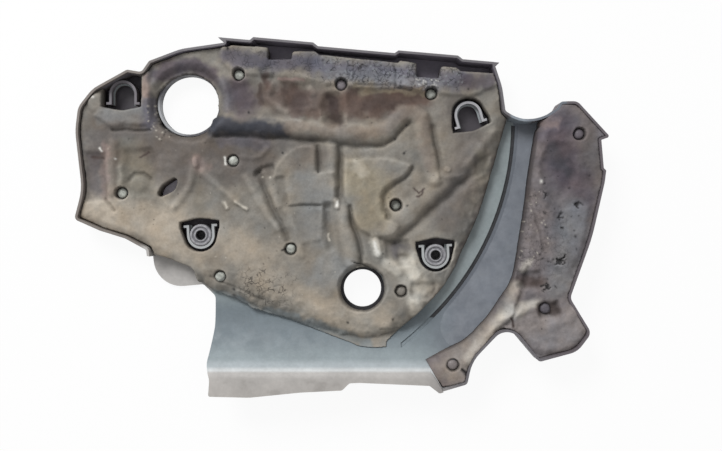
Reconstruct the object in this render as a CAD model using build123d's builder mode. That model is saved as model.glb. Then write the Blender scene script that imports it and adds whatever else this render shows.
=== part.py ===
import os
from math import atan, cos, degrees, radians, sin, tan
from build123d import *

# Engine cover seen from its underside: +Z points out of the underside, the styled face lies on z = 0

# Cover moulding
panel_wall = 3.0
rim_wall = 2.5
main_rim_height = 26.0
wing_rim_height = 38.0
outer_edge_radius = 2.0
fin_depth = 6.0

# Conical step between the main panel and the wing, round one upright axis
step_centre = (-106.0, 99.0)
step_line_radius = 291.0
step_line_width = 4.0
step_line_depth = 1.4
step_line_end = 64.0
step_line_margin = 3.0
wing_slope_start = 297.0
wing_slope_run = 44.0
wing_rise = 18.0

# Front apron, coved up from the panel to a bend and a flat flange
apron_start = -96.0
apron_cove_radius = 84.0
apron_cove_angle = 53.0
apron_bend_radius = 8.0
apron_flange_angle = 12.0
apron_flange_run = 60.0

# Openings in the panel
filler_centre = (-160.0, 117.5)
filler_radius = 31.5
collar_wall = 2.2
collar_height = 9.0
dip_centre = (23.5, -77.5)
dip_radius = 20.0

# Ball-stud brackets: place, and the turn of the U, which opens along +Y at no turn
socket_radius = 12.0
socket_wall = 2.5
socket_arm = 11.0
socket_ear = 3.0
socket_height = 14.0
socket_lip = 1.8
socket_lip_base = 5.0
socket_lip_thickness = 2.6
left_bracket = (-147.0, -20.5, 3.0)
right_bracket = (100.5, -41.5, 2.0)
upper_right_bracket = (135.0, 106.0, 196.0)
upper_left_bracket = (-229.0, 128.0, 180.0)

# Rubber grommets, still in the two lower brackets
grommet_clearance = 0.3
grommet_seat_shift = 0.2
grommet_height = 15.0
grommet_chamfer = 1.5
grommet_bore_radius = 4.5
grommet_bore_depth = 11.0

# Foam pads
pad_clearance = 0.3
pad_thickness = 18.0
wing_pad_thickness = 15.0
pocket_margin = 3.0
pad_opening_margin = 0.8

# Heat-staked studs that hold the pads
stud_radius = 3.0
stud_head_radius = 5.2
stud_head_height = 2.6
stud_hole_clearance = 0.4
stud_pit_clearance = 1.2
stud_sink = 5.0
low_stud_sink = 9.0
main_studs = [(-106.5, 148), (1, 137.5), (95.5, 128), (-112.5, 57.5), (-229.5, 23.5), (-52, -35), (-126.5, -64)]
low_stud = (58.5, 11)
lost_stud = (64, -79.5)
wing_studs = [(247, 84), (117, -154.5), (212, -96)]

# Relief of the main pad: rolls stand out of its face by their rise, recesses go in by their depth
ledge_rise = 4.0
filler_ring_width = 9.0
filler_ring_rise = 3.0
plateau_rise = 4.0
step_panel_rise = 3.0
side_recess_depth = 4.0
box_recess_depth = 6.0
oval_recess_depth = 8.0
stud_recess_radius = 14.0
stud_recess_depth = 4.5
hose_roll_radius = 11.0
hose_roll_rise = 6.0
tube_roll_radius = 10.0
tube_roll_rise = 5.5
slant_roll_radius = 15.0
slant_roll_rise = 4.5
side_roll_radius = 10.0
side_roll_rise = 3.5
relief_draft = 20.0

# Relief of the wing pad
wing_roll_radius = 9.0
wing_roll_rise = 1.5
wing_hollow_depth = 4.0
wing_slot_depth = 7.0

# Outline of the cover from above: x, y and the radius of each corner
cover_corners = [
    (-277, -4, 5), (-269, 27, 60), (-276, 88, 60), (-273, 113, 20), (-258, 132, 30), (-222, 152, 5),
    (-207, 149.5, 5), (-199, 161, 3), (-166, 173.5, 60), (-121, 180, 1), (-121, 185.2, 1), (-94, 182.8, 1),
    (-90.5, 185.9, 1), (-28, 180.3, 1), (-23, 176.4, 1), (57, 169.2, 1), (61, 172, 1), (123, 166.6, 1),
    (128, 162.8, 1), (161, 159.9, 1), (162, 155, 3), (169, 134, 60), (172.5, 109, 4), (197.5, 92.5, 38),
    (224, 110.5, 4), (227.5, 117, 4), (244, 117, 9), (277.6, 80.5, 2), (268.5, 77.5, 1), (271, 48.5, 1),
    (273.5, 46, 1), (272, 34, 40), (259, -23, 200), (236.5, -85, 9), (258.5, -121, 9), (244, -140, 22),
    (205, -150.5, 4), (197.5, -142, 3), (172.5, -112, 16), (136, -150, 40), (131, -173.5, 5), (102, -182, 3),
    (92, -174.5, 3), (20, -171.5, 20), (10, -172, 4), (2.5, -179, 4), (-40, -181, 60), (-92, -186, 60),
    (-134, -185, 2), (-133.5, -168.5, 15), (-139, -154, 15), (-134, -118, 60), (-134, -86, 8),
    (-147, -73.5, 4), (-197, -78, 30), (-202, -36, 3), (-224, -24, 20), (-250, -16, 30),
]
# Pointed fins at both ends of the rear rim
rear_fins = [
    [(-127, 185.8), (-119, 185), (-119, 179)],
    [(166, 159.3), (159, 160), (160.5, 154)],
]
# Stretch of the edge that has no rim wall: the bare lobe and the apron
open_edge = [(-208, -41), (-208, -100), (-170, -100), (-170, -210), (108, -210), (108, -184), (100, -171),
             (86, -149), (40, -90)]
# Inner edge of the wing and its lug, closed far outside the cover
wing_edge = [
    (208, 120, 0), (197, 52, 120), (190, 0, 150), (178, -66, 60), (152, -104, 60), (130, -128, 60),
    (85, -149, 3), (107, -186, 0), (300, -186, 0), (300, 120, 0),
]
# Edge of the main pad where it leaves the rim, closed far outside the cover
main_pad_edge = [
    (180, 112, 0), (149, 5, 250), (112, -76, 120), (50, -132.5, 2), (50, -140, 3), (21, -138, 30), (-62, -108, 60),
    (-95, -99.5, 20), (-113, -88, 8), (-135, -81, 6), (-151, -70, 8), (-156.5, -55, 10), (-190, -42.5, 20),
    (-300, -42.5, 0), (-300, 220, 0), (-118, 220, 0), (-118, 178.5, 2), (-75, 176, 2), (-75, 163.5, 1),
    (-51, 163.5, 1), (-50, 171.5, 3), (-27, 171.5, 3), (-21, 168, 5), (60, 160, 3), (63, 162, 2), (80, 159, 2),
    (80, 145, 1), (103, 144, 1), (105.5, 156, 3), (122, 155, 3), (126, 151, 4), (200, 147, 0), (200, 112, 0),
]
# Slit in the main pad that shows the panel
panel_slit = [(-193, 17, 3), (-188, 30, 12), (-170, 42, 3), (-172, 27, 12)]
# Raised and sunken fields of the main pad
rear_ledge = [(-130, 150, 0), (-21, 140, 30), (84, 129, 30), (200, 122, 0), (200, 200, 0), (-130, 200, 0)]
plateau = [(2, 60, 5), (56, 56, 6), (40, 30, 12), (38, -2, 12), (50, -20, 8), (24, -30, 6), (12, 4, 20)]
step_panel = [(-68, 38, 4), (-18, 44, 4), (-14, 10, 20), (-4, -44, 5), (-26, -58, 5), (-48, -12, 20)]
side_recess = [(-238, 94, 5), (-190, 94, 5), (-192, 54, 8), (-220, 36, 6), (-247, 40, 5)]
box_recess = [(-62, 140, 4), (-34, 137, 4), (-34, 113, 4), (-62, 112, 4)]
oval_recess = [(-17, 125, 9), (4, 124, 9), (3, 94, 9), (-17, 95, 9)]
# Paths of the rolls: points, and the radii of the corners between the ends
hose_roll = ([(-78, 93), (50, 86), (73, 121), (93, 103), (104, 41)], [20, 12, 14])
tube_roll = ([(-6, 72), (-3, 11), (5, -26), (14, -48)], [80, 80])
slant_roll = ([(146, 68), (46, -37)], [])
side_roll = ([(-152, 58), (-110, 16)], [])
wing_roll = ([(183, -67), (171, -100), (150, -124), (128, -150)], [50, 60])
# Sunken fields of the wing pad
wing_hollow = [(216, 72, 8), (252, 70, 8), (258, 24, 20), (240, -42, 8), (214, -42, 8), (209, 16, 30)]
wing_slot = [(201, -90, 5), (225, -90, 5), (225, -103, 5), (201, -103, 5)]

far = 320.0
above = 90.0


def corner_face(corners):
    points = [(x, y) for x, y, radius in corners]
    with BuildSketch() as face:
        with BuildLine():
            FilletPolyline(*points, radius=[radius for x, y, radius in corners], close=True)
        make_face()
    return face.sketch


def polygon_face(points):
    with BuildSketch() as face:
        with BuildLine():
            Polyline(*points, close=True)
        make_face()
    return face.sketch


def inset_face(face, amount):
    with BuildSketch() as inner:
        offset(face, amount=-amount)
    return inner.sketch


cover_outline = corner_face(cover_corners)
wing_outline = corner_face(wing_edge)

slope_angle = degrees(atan(wing_rise / wing_slope_run))
wing_slope_end = wing_slope_start + wing_slope_run
step_axis = Axis((*step_centre, 0), (0, 0, 1))
step_plane = Plane((*step_centre, 0), x_dir=(1, 0, 0), z_dir=(0, -1, 0))


def apron_below(lift):
    # Space under the coved apron, its face raised by lift along the normal
    bend_y = apron_start - (apron_cove_radius + apron_bend_radius) * sin(radians(apron_cove_angle))
    bend_z = apron_cove_radius - (apron_cove_radius + apron_bend_radius) * cos(radians(apron_cove_angle))
    with BuildPart() as space:
        with BuildSketch(Plane.YZ):
            with BuildLine():
                cove = CenterArc((apron_start, apron_cove_radius), apron_cove_radius - lift, -90, -apron_cove_angle)
                bend = CenterArc((bend_y, bend_z), apron_bend_radius + lift, 90 - apron_cove_angle,
                                 apron_cove_angle - apron_flange_angle)
                flange = PolarLine(bend @ 1, apron_flange_run, 180 - apron_flange_angle)
                end = flange @ 1
                Polyline(end, (end.X, -above), (apron_start, -above), cove @ 0)
            make_face()
        extrude(amount=far, both=True)
        extrude(inset_face(wing_outline, lift), amount=above, both=True, mode=Mode.SUBTRACT)
    return space.part


def step_above(lift):
    # Space over the panel, the conical step and the wing, raised by lift along the normal
    mitre = lift * tan(radians(slope_angle / 2))
    with BuildPart() as space:
        with BuildSketch(step_plane):
            with BuildLine():
                Polyline((0, lift), (wing_slope_start - mitre, lift), (wing_slope_end - mitre, wing_rise + lift),
                         (2 * far, wing_rise + lift), (2 * far, above), (0, above), close=True)
            make_face()
        revolve(axis=step_axis)
    return space.part


def face_above(lift):
    # Space over the whole styled face of the cover
    with BuildPart() as space:
        add(step_above(lift))
        add(apron_below(lift), mode=Mode.SUBTRACT)
    return space.part


def bracket_plane(bracket, height):
    x, y, turn = bracket
    return Plane((x, y, height), x_dir=(cos(radians(turn)), sin(radians(turn)), 0), z_dir=(0, 0, 1))


def u_band(inner_radius, outer_radius):
    # U-shaped band in the bracket's own axes, open along +Y
    with BuildSketch() as band:
        Circle(outer_radius)
        with Locations((0, socket_arm / 2)):
            Rectangle(2 * outer_radius, socket_arm)
        Circle(inner_radius, mode=Mode.SUBTRACT)
        with Locations((0, socket_arm)):
            Rectangle(2 * inner_radius, 2 * socket_arm, mode=Mode.SUBTRACT)
    return band.sketch


brackets = [left_bracket, right_bracket, upper_right_bracket, upper_left_bracket]
bracket_radius = socket_radius + socket_wall
pad_base = panel_wall + pad_clearance
pad_top = pad_base + pad_thickness
wing_pad_top = wing_rise + pad_base + wing_pad_thickness
stud_places = [(x, y, pad_top - stud_sink) for x, y in main_studs]
stud_places += [(*low_stud, pad_top - low_stud_sink)]
stud_places += [(x, y, wing_pad_top - stud_sink) for x, y in wing_studs]
stud_pit_radius = stud_head_radius + stud_pit_clearance
stud_dome_radius = (stud_head_radius ** 2 + stud_head_height ** 2) / (2 * stud_head_height)
inner_face = face_above(panel_wall)
pad_seat = face_above(pad_base)

with BuildPart() as rim_top:
    with BuildSketch(step_plane):
        with BuildLine():
            Polyline((0, main_rim_height), (wing_slope_start, main_rim_height), (wing_slope_end, wing_rim_height),
                     (2 * far, wing_rim_height), (2 * far, 2 * above), (0, 2 * above), close=True)
        make_face()
    revolve(axis=step_axis)
    extrude(polygon_face(open_edge), amount=2 * above, mode=Mode.SUBTRACT)

with BuildPart() as cavity:
    with BuildSketch():
        add(inset_face(cover_outline, rim_wall))
        add(polygon_face(open_edge))
    extrude(amount=above)
    add(inner_face, mode=Mode.INTERSECT)

with BuildPart() as step_line:
    with BuildSketch():
        with Locations(step_centre):
            Circle(step_line_radius + step_line_width / 2)
            Circle(step_line_radius - step_line_width / 2, mode=Mode.SUBTRACT)
        with Locations((step_line_end, 0)):
            Rectangle(far, 2 * far, align=(Align.MIN, Align.CENTER), mode=Mode.INTERSECT)
        add(inset_face(cover_outline, rim_wall + step_line_margin), mode=Mode.INTERSECT)
    extrude(amount=main_rim_height)
    add(face_above(panel_wall - step_line_depth), mode=Mode.INTERSECT)

# The cover itself: a tray with rim walls, coved apron, collar, brackets and studs in one moulding
with BuildPart() as cover_shell:
    extrude(cover_outline, amount=above - outer_edge_radius)
    add(face_above(0), mode=Mode.INTERSECT)
    panel_edges = [edge for edge in cover_shell.edges() if edge.bounding_box().max.Z < outer_edge_radius / 2]
    fillet(panel_edges, radius=outer_edge_radius)
    add(cavity.part, mode=Mode.SUBTRACT)
    add(rim_top.part, mode=Mode.SUBTRACT)
    add(step_line.part, mode=Mode.SUBTRACT)
    for fin in rear_fins:
        with BuildSketch(Plane.XY.offset(main_rim_height)):
            add(polygon_face(fin))
        extrude(amount=-fin_depth)
    with BuildSketch():
        with Locations(filler_centre):
            Circle(filler_radius + collar_wall)
    extrude(amount=panel_wall + collar_height)
    with BuildSketch():
        with Locations(filler_centre):
            Circle(filler_radius)
        with Locations(dip_centre):
            Circle(dip_radius)
    extrude(amount=main_rim_height, mode=Mode.SUBTRACT)
    for bracket in brackets:
        with BuildSketch(bracket_plane(bracket, panel_wall)):
            add(u_band(socket_radius, bracket_radius))
            with Locations((0, socket_arm - socket_wall / 2)):
                Rectangle(2 * (bracket_radius + socket_ear), socket_wall)
                Rectangle(2 * socket_radius, socket_wall, mode=Mode.SUBTRACT)
        extrude(amount=socket_height)
        with BuildSketch(bracket_plane(bracket, panel_wall + socket_lip_base)):
            add(u_band(socket_radius - socket_lip, socket_radius))
        extrude(amount=socket_lip_thickness)
    for x, y, seat in stud_places:
        shaft_start = panel_wall / 2 if seat < wing_rise else wing_rise
        with BuildSketch(Plane((x, y, seat), x_dir=(1, 0, 0), z_dir=(0, -1, 0))):
            with BuildLine():
                dome = RadiusArc((stud_head_radius, 0), (0, stud_head_height), -stud_dome_radius)
                Polyline(dome @ 1, (0, shaft_start - seat), (stud_radius, shaft_start - seat), (stud_radius, 0),
                         dome @ 0)
            make_face()
        revolve(axis=Axis((x, y, 0), (0, 0, 1)))


def seat_of(bracket):
    # Place of a grommet pushed home against the closed end of its bracket
    x, y, turn = bracket
    shift = grommet_seat_shift
    return x + shift * sin(radians(turn)), y - shift * cos(radians(turn)), turn


def grommet_solid(bracket):
    # Rubber grommet clipped over the lip of its bracket
    seat = seat_of(bracket)
    lip_foot = socket_lip_base - grommet_clearance
    lip_head = socket_lip_base + socket_lip_thickness + grommet_clearance
    flange = socket_radius - grommet_clearance
    neck = flange - socket_lip
    with BuildPart() as grommet:
        with BuildSketch(bracket_plane(seat, panel_wall + grommet_clearance)):
            Circle(flange)
        extrude(amount=lip_foot - grommet_clearance)
        with BuildSketch(bracket_plane(seat, panel_wall + lip_foot)):
            Circle(neck)
        extrude(amount=lip_head - lip_foot)
        with BuildSketch(bracket_plane(seat, panel_wall + lip_head)):
            Circle(flange)
        extrude(amount=grommet_height - lip_head)
        chamfer(grommet.edges().group_by(Axis.Z)[-1], length=grommet_chamfer)
        with BuildSketch(bracket_plane(seat, panel_wall + grommet_height)):
            Circle(grommet_bore_radius)
        extrude(amount=-grommet_bore_depth, mode=Mode.SUBTRACT)
    return grommet.part


def roll_solid(route, radius, crest):
    # Round-ended bar along a route, its top at the height of the crest
    points, corner_radii = route
    places = [(x, y, crest - radius) for x, y in points]
    with BuildPart() as roll:
        with BuildLine() as path:
            if corner_radii:
                FilletPolyline(*places, radius=corner_radii)
            else:
                Polyline(*places)
        with BuildSketch(Plane(path.line @ 0, z_dir=path.line % 0)):
            Circle(radius)
        sweep(path=path.line)
        with Locations(places[0], places[-1]):
            Sphere(radius)
    return roll.part


def field_solid(corners, level, height):
    # Drafted block with the outline of a field, up from its level or, with a negative height, down
    with BuildPart() as field:
        with BuildSketch(Plane.XY.offset(level)):
            add(corner_face(corners))
        extrude(amount=height, taper=relief_draft)
    return field.part


def stud_hole_solid(x, y, seat):
    # Room for a stud: its shaft all the way, and a pit for its head
    with BuildPart() as hole:
        with Locations((x, y, seat)):
            Cylinder(stud_radius + stud_hole_clearance, 2 * above)
            Cylinder(stud_pit_radius, above, align=(Align.CENTER, Align.CENTER, Align.MIN))
    return hole.part


raised_fields = [
    field_solid(rear_ledge, pad_top, ledge_rise),
    field_solid(plateau, pad_top, plateau_rise),
    field_solid(step_panel, pad_top, step_panel_rise),
    roll_solid(hose_roll, hose_roll_radius, pad_top + hose_roll_rise),
    roll_solid(tube_roll, tube_roll_radius, pad_top + tube_roll_rise),
    roll_solid(slant_roll, slant_roll_radius, pad_top + slant_roll_rise),
    roll_solid(side_roll, side_roll_radius, pad_top + side_roll_rise),
]
sunken_fields = [
    field_solid(side_recess, pad_top, -side_recess_depth),
    field_solid(box_recess, pad_top, -box_recess_depth),
    field_solid(oval_recess, pad_top, -oval_recess_depth),
]
main_stud_holes = [stud_hole_solid(x, y, pad_top - stud_sink) for x, y in [*main_studs, lost_stud]]
main_stud_holes += [stud_hole_solid(*low_stud, pad_top - low_stud_sink)]
wing_cuts = [stud_hole_solid(x, y, wing_pad_top - stud_sink) for x, y in wing_studs]
wing_cuts += [
    field_solid(wing_hollow, wing_pad_top, -wing_hollow_depth),
    field_solid(wing_slot, wing_pad_top, -wing_slot_depth),
]
wing_pad_seat = step_above(pad_base)
wing_pad_face = step_above(pad_base + wing_pad_thickness)
wing_edge_roll = roll_solid(wing_roll, wing_roll_radius, wing_pad_top + wing_roll_rise)

# Main foam absorber: a moulded pad with the shapes of the engine in its face
with BuildPart() as main_foam_pad:
    Box(2 * far, 2 * far, pad_top, align=(Align.CENTER, Align.CENTER, Align.MIN))
    for field in sunken_fields:
        add(field, mode=Mode.SUBTRACT)
    for field in raised_fields:
        add(field)
    with BuildSketch(Plane.XY.offset(pad_top)):
        with Locations(filler_centre):
            Circle(filler_radius + filler_ring_width)
    extrude(amount=filler_ring_rise, taper=relief_draft)
    with BuildSketch(Plane.XY.offset(pad_top - stud_recess_depth)):
        with Locations(low_stud):
            Circle(stud_recess_radius)
    extrude(amount=above, mode=Mode.SUBTRACT)
    with BuildSketch():
        add(inset_face(cover_outline, rim_wall + pad_clearance))
        add(corner_face(main_pad_edge), mode=Mode.INTERSECT)
        add(corner_face(panel_slit), mode=Mode.SUBTRACT)
        with Locations(filler_centre):
            Circle(filler_radius + collar_wall + pad_opening_margin, mode=Mode.SUBTRACT)
        with Locations(dip_centre):
            Circle(dip_radius + pocket_margin, mode=Mode.SUBTRACT)
    extrude(amount=above, mode=Mode.INTERSECT)
    add(pad_seat, mode=Mode.INTERSECT)
    for bracket in brackets:
        with BuildSketch(bracket_plane(bracket, 0)):
            Circle(bracket_radius + pocket_margin)
            with Locations((0, socket_arm)):
                Rectangle(2 * (bracket_radius + socket_ear + pocket_margin), 2 * pocket_margin)
            make_hull()
        extrude(amount=above, mode=Mode.SUBTRACT)
    with BuildSketch(bracket_plane(upper_left_bracket, 0)):
        with Locations((0, socket_arm + pocket_margin)):
            Rectangle(2 * (bracket_radius + socket_ear + pocket_margin), far, align=(Align.CENTER, Align.MAX))
    extrude(amount=above, mode=Mode.SUBTRACT)
    for hole in main_stud_holes:
        add(hole, mode=Mode.SUBTRACT)

# Wing foam absorber: follows the wing at an even thickness, with a roll along its inner edge
with BuildPart() as wing_foam_pad:
    Box(2 * far, 2 * far, above - wing_pad_thickness, align=(Align.CENTER, Align.CENTER, Align.MIN))
    add(wing_pad_face, mode=Mode.SUBTRACT)
    add(wing_edge_roll)
    with BuildSketch():
        add(inset_face(cover_outline, rim_wall + pad_clearance))
        add(inset_face(wing_outline, pad_base), mode=Mode.INTERSECT)
    extrude(amount=above, mode=Mode.INTERSECT)
    add(wing_pad_seat, mode=Mode.INTERSECT)
    for cut in wing_cuts:
        add(cut, mode=Mode.SUBTRACT)

pieces = {
    "cover_shell": cover_shell.part,
    "main_foam_pad": main_foam_pad.part,
    "wing_foam_pad": wing_foam_pad.part,
    "left_grommet": grommet_solid(left_bracket),
    "right_grommet": grommet_solid(right_bracket),
}
os.makedirs("parts", exist_ok=True)
for name, solid in pieces.items():
    solid.label = name
    export_step(solid, f"parts/{name}.step")
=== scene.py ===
import math

import bmesh
import bpy
import numpy as np
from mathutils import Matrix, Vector
from mathutils.bvhtree import BVHTree
from mathutils.geometry import delaunay_2d_cdt
from mathutils.kdtree import KDTree


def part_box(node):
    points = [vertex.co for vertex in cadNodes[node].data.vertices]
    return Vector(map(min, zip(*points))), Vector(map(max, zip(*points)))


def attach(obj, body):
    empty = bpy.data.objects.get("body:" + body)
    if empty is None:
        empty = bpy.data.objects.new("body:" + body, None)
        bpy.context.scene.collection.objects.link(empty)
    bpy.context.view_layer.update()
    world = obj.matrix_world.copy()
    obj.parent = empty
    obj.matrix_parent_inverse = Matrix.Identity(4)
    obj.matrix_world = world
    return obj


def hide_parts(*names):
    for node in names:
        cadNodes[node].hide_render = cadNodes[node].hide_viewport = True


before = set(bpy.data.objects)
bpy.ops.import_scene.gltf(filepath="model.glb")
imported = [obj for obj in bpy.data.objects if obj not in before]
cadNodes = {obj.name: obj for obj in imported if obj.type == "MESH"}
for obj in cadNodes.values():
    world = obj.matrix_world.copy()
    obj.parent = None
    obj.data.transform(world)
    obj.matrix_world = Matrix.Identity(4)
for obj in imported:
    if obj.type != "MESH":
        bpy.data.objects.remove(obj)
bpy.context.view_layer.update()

scene = bpy.context.scene
scene.view_settings.view_transform = "Standard"
mm = 0.001

# everything below is drawn in mm, and spots on the part in pixels of the picture frame
shot = {
    "pixels": (722, 451),
    "eye": (21.9, -10.5, 800.0),   # mm, lens straight above the part
    "pixel": 1.05,                 # mm a pixel covers at the level below
    "pixelLevel": 20.0,
    "sensor": 36.0,
}

tones = {
    "foam": (134, 129, 121),
    "sand": (172, 162, 148),
    "ochre": (148, 139, 120),
    "olive": (124, 119, 108),
    "taupe": (98, 92, 88),
    "hose": (120, 110, 101),
    "brown": (92, 77, 71),
    "umber": (72, 61, 58),
    "maroon": (56, 46, 45),
    "cove": (118, 124, 126),
    "soot": (60, 61, 67),
    "slate": (88, 86, 96),
    "ledgeGrey": (102, 101, 111),
    "plum": (80, 72, 80),
    "mist": (134, 138, 141),
    "cream": (196, 190, 178),
    "rose": (142, 124, 118),
    "wingGrey": (112, 106, 107),
    "wingPale": (142, 136, 135),
    "chalk": (222, 220, 214),
    "coal": (26, 25, 27),
}


def linear(tone):
    part = np.asarray(tones[tone] if isinstance(tone, str) else tone, float) / 255
    return np.where(part <= 0.04045, part / 12.92, ((part + 0.055) / 1.055) ** 2.4)


def rgba(tone):
    return (*[float(v) for v in linear(tone)], 1.0)


def onPart(spots, level):
    # picture pixels to mm on the part at a level above the floor
    spots = np.asarray(spots, float).reshape(-1, 2)
    eyeX, eyeY, eyeZ = shot["eye"]
    span = shot["pixel"] * (eyeZ - level) / (eyeZ - shot["pixelLevel"])
    across = eyeX + (spots[:, 0] - shot["pixels"][0] / 2) * span
    up = eyeY + (shot["pixels"][1] / 2 - spots[:, 1]) * span
    return np.stack([across, up], 1)


def smooth(low, high, value):
    part = np.clip((value - low) / (high - low), 0, 1)
    return part * part * (3 - 2 * part)


def grain(xy, size, seed, layers=3):
    # seeded lattice noise, about -1 to 1, size in mm; each finer layer is turned and weaker
    cells = 128
    total = np.zeros(len(xy))
    weight = 1.0
    whole = 0.0
    for layer in range(layers):
        lattice = np.random.default_rng(seed * 101 + layer).uniform(-1, 1, (cells, cells))
        turn = 0.5 + 1.1 * layer
        u = (xy[:, 0] * math.cos(turn) - xy[:, 1] * math.sin(turn)) / size + 41.7 * layer
        v = (xy[:, 0] * math.sin(turn) + xy[:, 1] * math.cos(turn)) / size + 17.3 * layer
        iu = np.floor(u).astype(int)
        iv = np.floor(v).astype(int)
        fu = smooth(0, 1, u - iu)
        fv = smooth(0, 1, v - iv)
        a, b, c, d = [lattice[(iu + i) % cells, (iv + j) % cells] for j in (0, 1) for i in (0, 1)]
        total += weight * ((a * (1 - fu) + b * fu) * (1 - fv) + (c * (1 - fu) + d * fu) * fv)
        whole += weight
        weight *= 0.55
        size *= 0.5
    return total / whole * 1.5


def toPath(xy, path):
    # distance from each point to an open path
    path = np.asarray(path, float)
    if len(path) == 1:
        return np.hypot(xy[:, 0] - path[0, 0], xy[:, 1] - path[0, 1])
    best = np.full(len(xy), 1e9)
    for a, b in zip(path[:-1], path[1:]):
        run = b - a
        along = np.clip(((xy - a) @ run) / (run @ run), 0, 1)
        gap = xy - a - along[:, None] * run
        best = np.minimum(best, np.hypot(gap[:, 0], gap[:, 1]))
    return best


def toField(xy, corners):
    # distance to a closed outline, negative inside
    corners = np.asarray(corners, float)
    closed = np.vstack([corners, corners[:1]])
    away = toPath(xy, closed)
    inside = np.zeros(len(xy), bool)
    for a, b in zip(closed[:-1], closed[1:]):
        if a[1] == b[1]:
            continue
        spans = (a[1] > xy[:, 1]) != (b[1] > xy[:, 1])
        meets = a[0] + (xy[:, 1] - a[1]) * (b[0] - a[0]) / (b[1] - a[1])
        inside ^= spans & (xy[:, 0] < meets)
    return np.where(inside, -away, away)


def treeOf(points):
    tree = KDTree(len(points))
    for k, (x, y) in enumerate(points):
        tree.insert((x, y, 0), k)
    tree.balance()
    return tree


def gapTo(tree, xy):
    # distance from each point to the nearest one in a tree
    return np.array([tree.find((x, y, 0))[2] for x, y in xy])


def cellSeam(xy, size, seed):
    # how far a point is from the seam between two crumbs
    low = xy.min(0) - size
    columns, rows = np.ceil((xy.max(0) + size - low) / size).astype(int)
    rng = np.random.default_rng(seed)
    hearts = [low + (np.array([i, j]) + rng.uniform(0.05, 0.95, 2)) * size
              for i in range(columns) for j in range(rows)]
    tree = treeOf(hearts)
    seam = np.zeros(len(xy))
    for k, (x, y) in enumerate(xy):
        near = tree.find_n((x, y, 0), 2)
        seam[k] = near[1][2] - near[0][2]
    return seam


def sliceLoops(node, level):
    # outlines of a CAD node at a height, in mm, the smallest first
    weld = 2e-6
    bm = bmesh.new()
    bm.from_mesh(cadNodes[node].data)
    bmesh.ops.remove_doubles(bm, verts=bm.verts, dist=weld)
    bmesh.ops.bisect_plane(bm, geom=bm.verts[:] + bm.edges[:] + bm.faces[:], plane_co=(0, 0, level * mm),
                           plane_no=(0, 0, 1), clear_inner=True, clear_outer=True)
    bmesh.ops.remove_doubles(bm, verts=bm.verts, dist=weld)
    loops = []
    left = dict.fromkeys(bm.edges)    # in order, so that each run gives the same loops
    while left:
        edge = next(iter(left))
        del left[edge]
        first, at = edge.verts
        loop = [first.co.copy(), at.co.copy()]
        while at != first:
            onward = [e for e in at.link_edges if e in left]
            if not onward:
                break
            del left[onward[0]]
            at = onward[0].other_vert(at)
            loop.append(at.co.copy())
        if at == first and len(loop) > 8:
            loops.append(np.array([(p.x, p.y) for p in loop[:-1]]) / mm)
    bm.free()
    return sorted(loops, key=lambda loop: abs(loopArea(loop)))


def loopArea(loop):
    after = np.roll(loop, -1, 0)
    return 0.5 * float(np.sum(loop[:, 0] * after[:, 1] - after[:, 0] * loop[:, 1]))


def evenLoop(loop, step, anticlockwise):
    if (loopArea(loop) > 0) != anticlockwise:
        loop = loop[::-1]
    closed = np.vstack([loop, loop[:1]])
    lengths = np.r_[0, np.cumsum(np.hypot(*np.diff(closed, axis=0).T))]
    count = max(int(round(lengths[-1] / step)), 10)
    at = np.linspace(0, lengths[-1], count, endpoint=False)
    return np.stack([np.interp(at, lengths, closed[:, 0]), np.interp(at, lengths, closed[:, 1])], 1)


# size in mm and seed of each noise on the foam
foamNoise = {
    "bite": (9.0, 0), "fineBite": (2.5, 1), "tearBite": (4.0, 2), "lean": (7.0, 0), "fineLean": (2.5, 1),
    "bowl": (12, 3), "wander": (18, 5), "blown": (10, 7), "broadCloud": (26, 11), "cloud": (11, 12),
    "fineCloud": (3.0, 13), "hue": (18, 14), "taper": (16, 15), "pit": (4, 20), "crumbBend": (7, 41),
    "crumbGate": (9, 43), "crumbRough": (3.0, 44), "crumbZone": (22, 46), "shaken": (5, 51),
    "ragged": (4, 53),
}

# how far in mm the noises that stir points push them
stirReach = {"wander": 1.6, "blown": 4.0, "crumbBend": 2.2, "shaken": 0.9, "ragged": 1.8}


def foamGrain(xy, name, seed, layers=3):
    size, shift = foamNoise[name]
    return grain(xy, size, seed + shift, layers)


def stirred(xy, name, seed):
    # points pushed about by noise, so that what follows them wanders
    return xy + np.stack([foamGrain(xy, name, seed), foamGrain(xy, name, seed + 1)], 1) * stirReach[name]


def blend(colour, tone, mask):
    mask = mask[:, None]
    return colour * (1 - mask) + linear(tone) * mask


def leftOf(loop):
    # steps of 1 mm to the left of a loop, where the foam lies
    ahead = np.roll(loop, -1, 0) - np.roll(loop, 1, 0)
    ahead /= np.maximum(np.hypot(*ahead.T), 1e-9)[:, None]
    return np.stack([-ahead[:, 1], ahead[:, 0]], 1)


def turnOf(a, b, c):
    # above 0 where c lies to the left of the line from a to b
    return (b[0] - a[0]) * (c[1] - a[1]) - (b[1] - a[1]) * (c[0] - a[0])


def uncrossedLoop(loop, reach=8):
    # where the edge crosses itself at a sharp corner, the points between are dropped
    points = loop.tolist()
    k = 0
    while k < len(points):
        a, b = points[k], points[(k + 1) % len(points)]
        for far in range(reach, 1, -1):
            c, d = points[(k + far) % len(points)], points[(k + far + 1) % len(points)]
            if turnOf(a, b, c) * turnOf(a, b, d) < 0 and turnOf(c, d, a) * turnOf(c, d, b) < 0:
                dropped = {(k + 1 + m) % len(points) for m in range(far)}
                points = [point for m, point in enumerate(points) if m not in dropped]
                break
        k += 1
    return np.array(points)


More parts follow.
